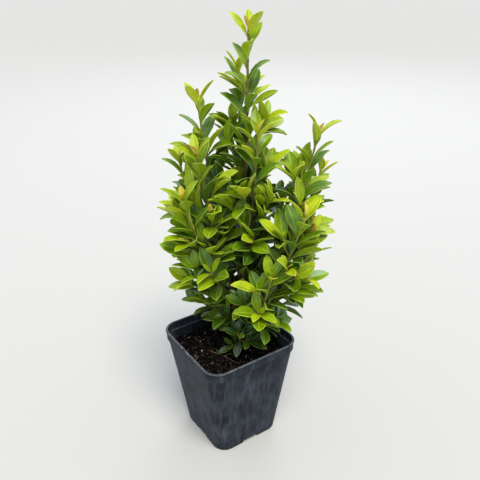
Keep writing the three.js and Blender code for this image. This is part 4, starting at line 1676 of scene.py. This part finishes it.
# Bark's colour by age, from the youngest to the oldest.
OLD_BARK = [(0.2, "#5b4a30"), (0.6, "#4e3a28"), (1.0, "#3d2b20")]
GREEN_BARK = [(0.0, "#a0a642"), (0.3, "#8a9138"), (0.55, "#7c7638"), (0.8, "#6b5834"), (1.0, "#4e3b28")]


def bark_material(name, stops, roughness, relief):
    """Bark whose colour follows the age kept on the stem."""
    material, tree, place = new_material(name)
    age = add(tree, "ShaderNodeAttribute", out="Fac", attribute_name="age")
    drift = add(tree, "ShaderNodeTexNoise",
                {"Vector": place, "Scale": per_metre(DRIFT_PATCH), "Detail": 3.0})
    drift = add(tree, "ShaderNodeMapRange", {"Value": drift, "To Min": -DRIFT, "To Max": DRIFT})
    shade = add(tree, "ShaderNodeMath", {0: age, 1: drift}, operation="ADD")
    colour = add(tree, "ShaderNodeValToRGB", {"Fac": shade}, stops=stops)
    pores = add(tree, "ShaderNodeTexVoronoi", {"Vector": place, "Scale": per_metre(LENTICEL)})
    pores = add(tree, "ShaderNodeMapRange",
                {"Value": pores, "From Min": 0.16, "From Max": 0.1, "To Min": 0.0, "To Max": 0.45})
    dotted = add(tree, "ShaderNodeMix", {0: pores, 6: colour, 7: linear("#a3926a")}, out=2,
                 data_type="RGBA")
    streaks = add(tree, "ShaderNodeMapping", {"Vector": place, "Scale": (1.0, 1.0, BARK_RUN)})
    fine = add(tree, "ShaderNodeTexNoise",
               {"Vector": streaks, "Scale": per_metre(BARK_GRAIN), "Detail": 4.0})
    skin = add(tree, "ShaderNodeBump", {"Height": fine, "Strength": relief, "Distance": 0.3 * MM})
    surface = add(tree, "ShaderNodeBsdfPrincipled",
                  {"Base Color": dotted, "Roughness": roughness, "IOR": 1.45, "Normal": skin})
    add(tree, "ShaderNodeOutputMaterial", {"Surface": surface})
    return material


old_bark = bark_material("old holly bark, dry", OLD_BARK, 0.85, 0.8)
green_bark = bark_material("young holly bark, waxy", GREEN_BARK, 0.5, 0.35)
print("barks:", old_bark.name, "and", green_bark.name)

# %% Stem lines
# Values in threes are for shoots, twigs and twiglets.
STEM_STEP = (1.3, 1.3, 1.1)
NODE_SWELL = 0.3
NODE_WIDTH = 1.1
# A node's swelling is left out beyond this many of its widths.
NODE_REACH = 3
COLLAR_SWELL = 0.45
COLLAR_LENGTH = 2.2
AGE_AT_FOOT = (0.9, 0.45, 0.3)
WOOD_SHARE = (1.0, 0.5, 0.3)
FEWEST_POINTS = 4


def stem_piece(name, paths, sides, furrow, furrow_size, bark):
    """One piece from several paths, each a list of points with a girth and an age."""
    points, girths, ages, edges = [], [], [], []
    for path in paths:
        for i, (point, girth, age) in enumerate(path):
            if i:
                edges.append((len(points) - 1, len(points)))
            points.append(point)
            girths.append(girth * MM)
            ages.append(age)
    piece = mesh_piece(name, points, [], edges)
    keep(piece, "girth", "FLOAT", girths)
    keep(piece, "age", "FLOAT", ages)
    return run_tree(piece, stemming, {
        "Sides": sides, "Furrow": furrow * MM, "Furrow size": per_metre(furrow_size), "Bark": bark})


def stem_path(stem):
    """A stem's points, swollen at its foot and at each leaf."""
    path = []
    count = max(FEWEST_POINTS, int(stem.length / STEM_STEP[stem.order]))
    for share in np.linspace(0, 1, count):
        girth = stem.radius(share)
        for node in stem.nodes:
            far = (share - node) * stem.length / NODE_WIDTH
            near = far * far < NODE_REACH ** 2
            girth += NODE_SWELL * stem.radius(share) * math.exp(-far * far) * near
        girth *= 1 + COLLAR_SWELL * math.exp(-share * stem.length / COLLAR_LENGTH)
        wood = shoots[stem.shoot].tier["wood"] * WOOD_SHARE[stem.order]
        old = mix(wood, AGE_AT_FOOT[stem.order], 1 - share)
        path.append((stem.point(share), girth, old))
    return path


print("points along the tallest shoot:", len(stem_path(shoots[-1])))

# %% Trunk, shoots and twigs
TRUNK_STEP = 0.9
TRUNK_SUNK = 3
TRUNK_SIDES = 28
ROOT_FLARE = 1.9
FLARE_HEIGHT = 5
# How deep and how wide its furrows are.
TRUNK_FURROWS = (0.9, 2.4)

trunk_path = []
for height in np.arange(-TRUNK_SUNK, TRUNK_HEIGHT, TRUNK_STEP):
    over = max(0, height)
    girth = mix(*TRUNK_GIRTH, over / TRUNK_HEIGHT) + ROOT_FLARE * math.exp(-over / FLARE_HEIGHT)
    trunk_path.append((trunk_point(height), girth, 1 - height / TRUNK_HEIGHT))
trunk = stem_piece("trunk_bark", [trunk_path], TRUNK_SIDES, *TRUNK_FURROWS, old_bark)
dress(trunk, "bark", "trunk")

# For shoots, twigs and twiglets: the piece, its sides, how deep and how wide its furrows are, and
# the solids in whose place it stands.
bough_nodes = sorted(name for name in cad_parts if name.startswith("bough"))
STEM_PIECES = (
    ("shoot_stems", 10, 0.35, 1.6, bough_nodes),
    ("twig_stems", 8, 0.2, 1.2, foliage_nodes),
    ("twiglet_stems", 6, 0.1, 1.0, foliage_nodes),
)
for order, (name, sides, furrow, furrow_size, nodes) in enumerate(STEM_PIECES):
    paths = [stem_path(stem) for stem in stems if stem.order == order]
    dress(stem_piece(name, paths, sides, furrow, furrow_size, green_bark), "young_bark", *nodes)
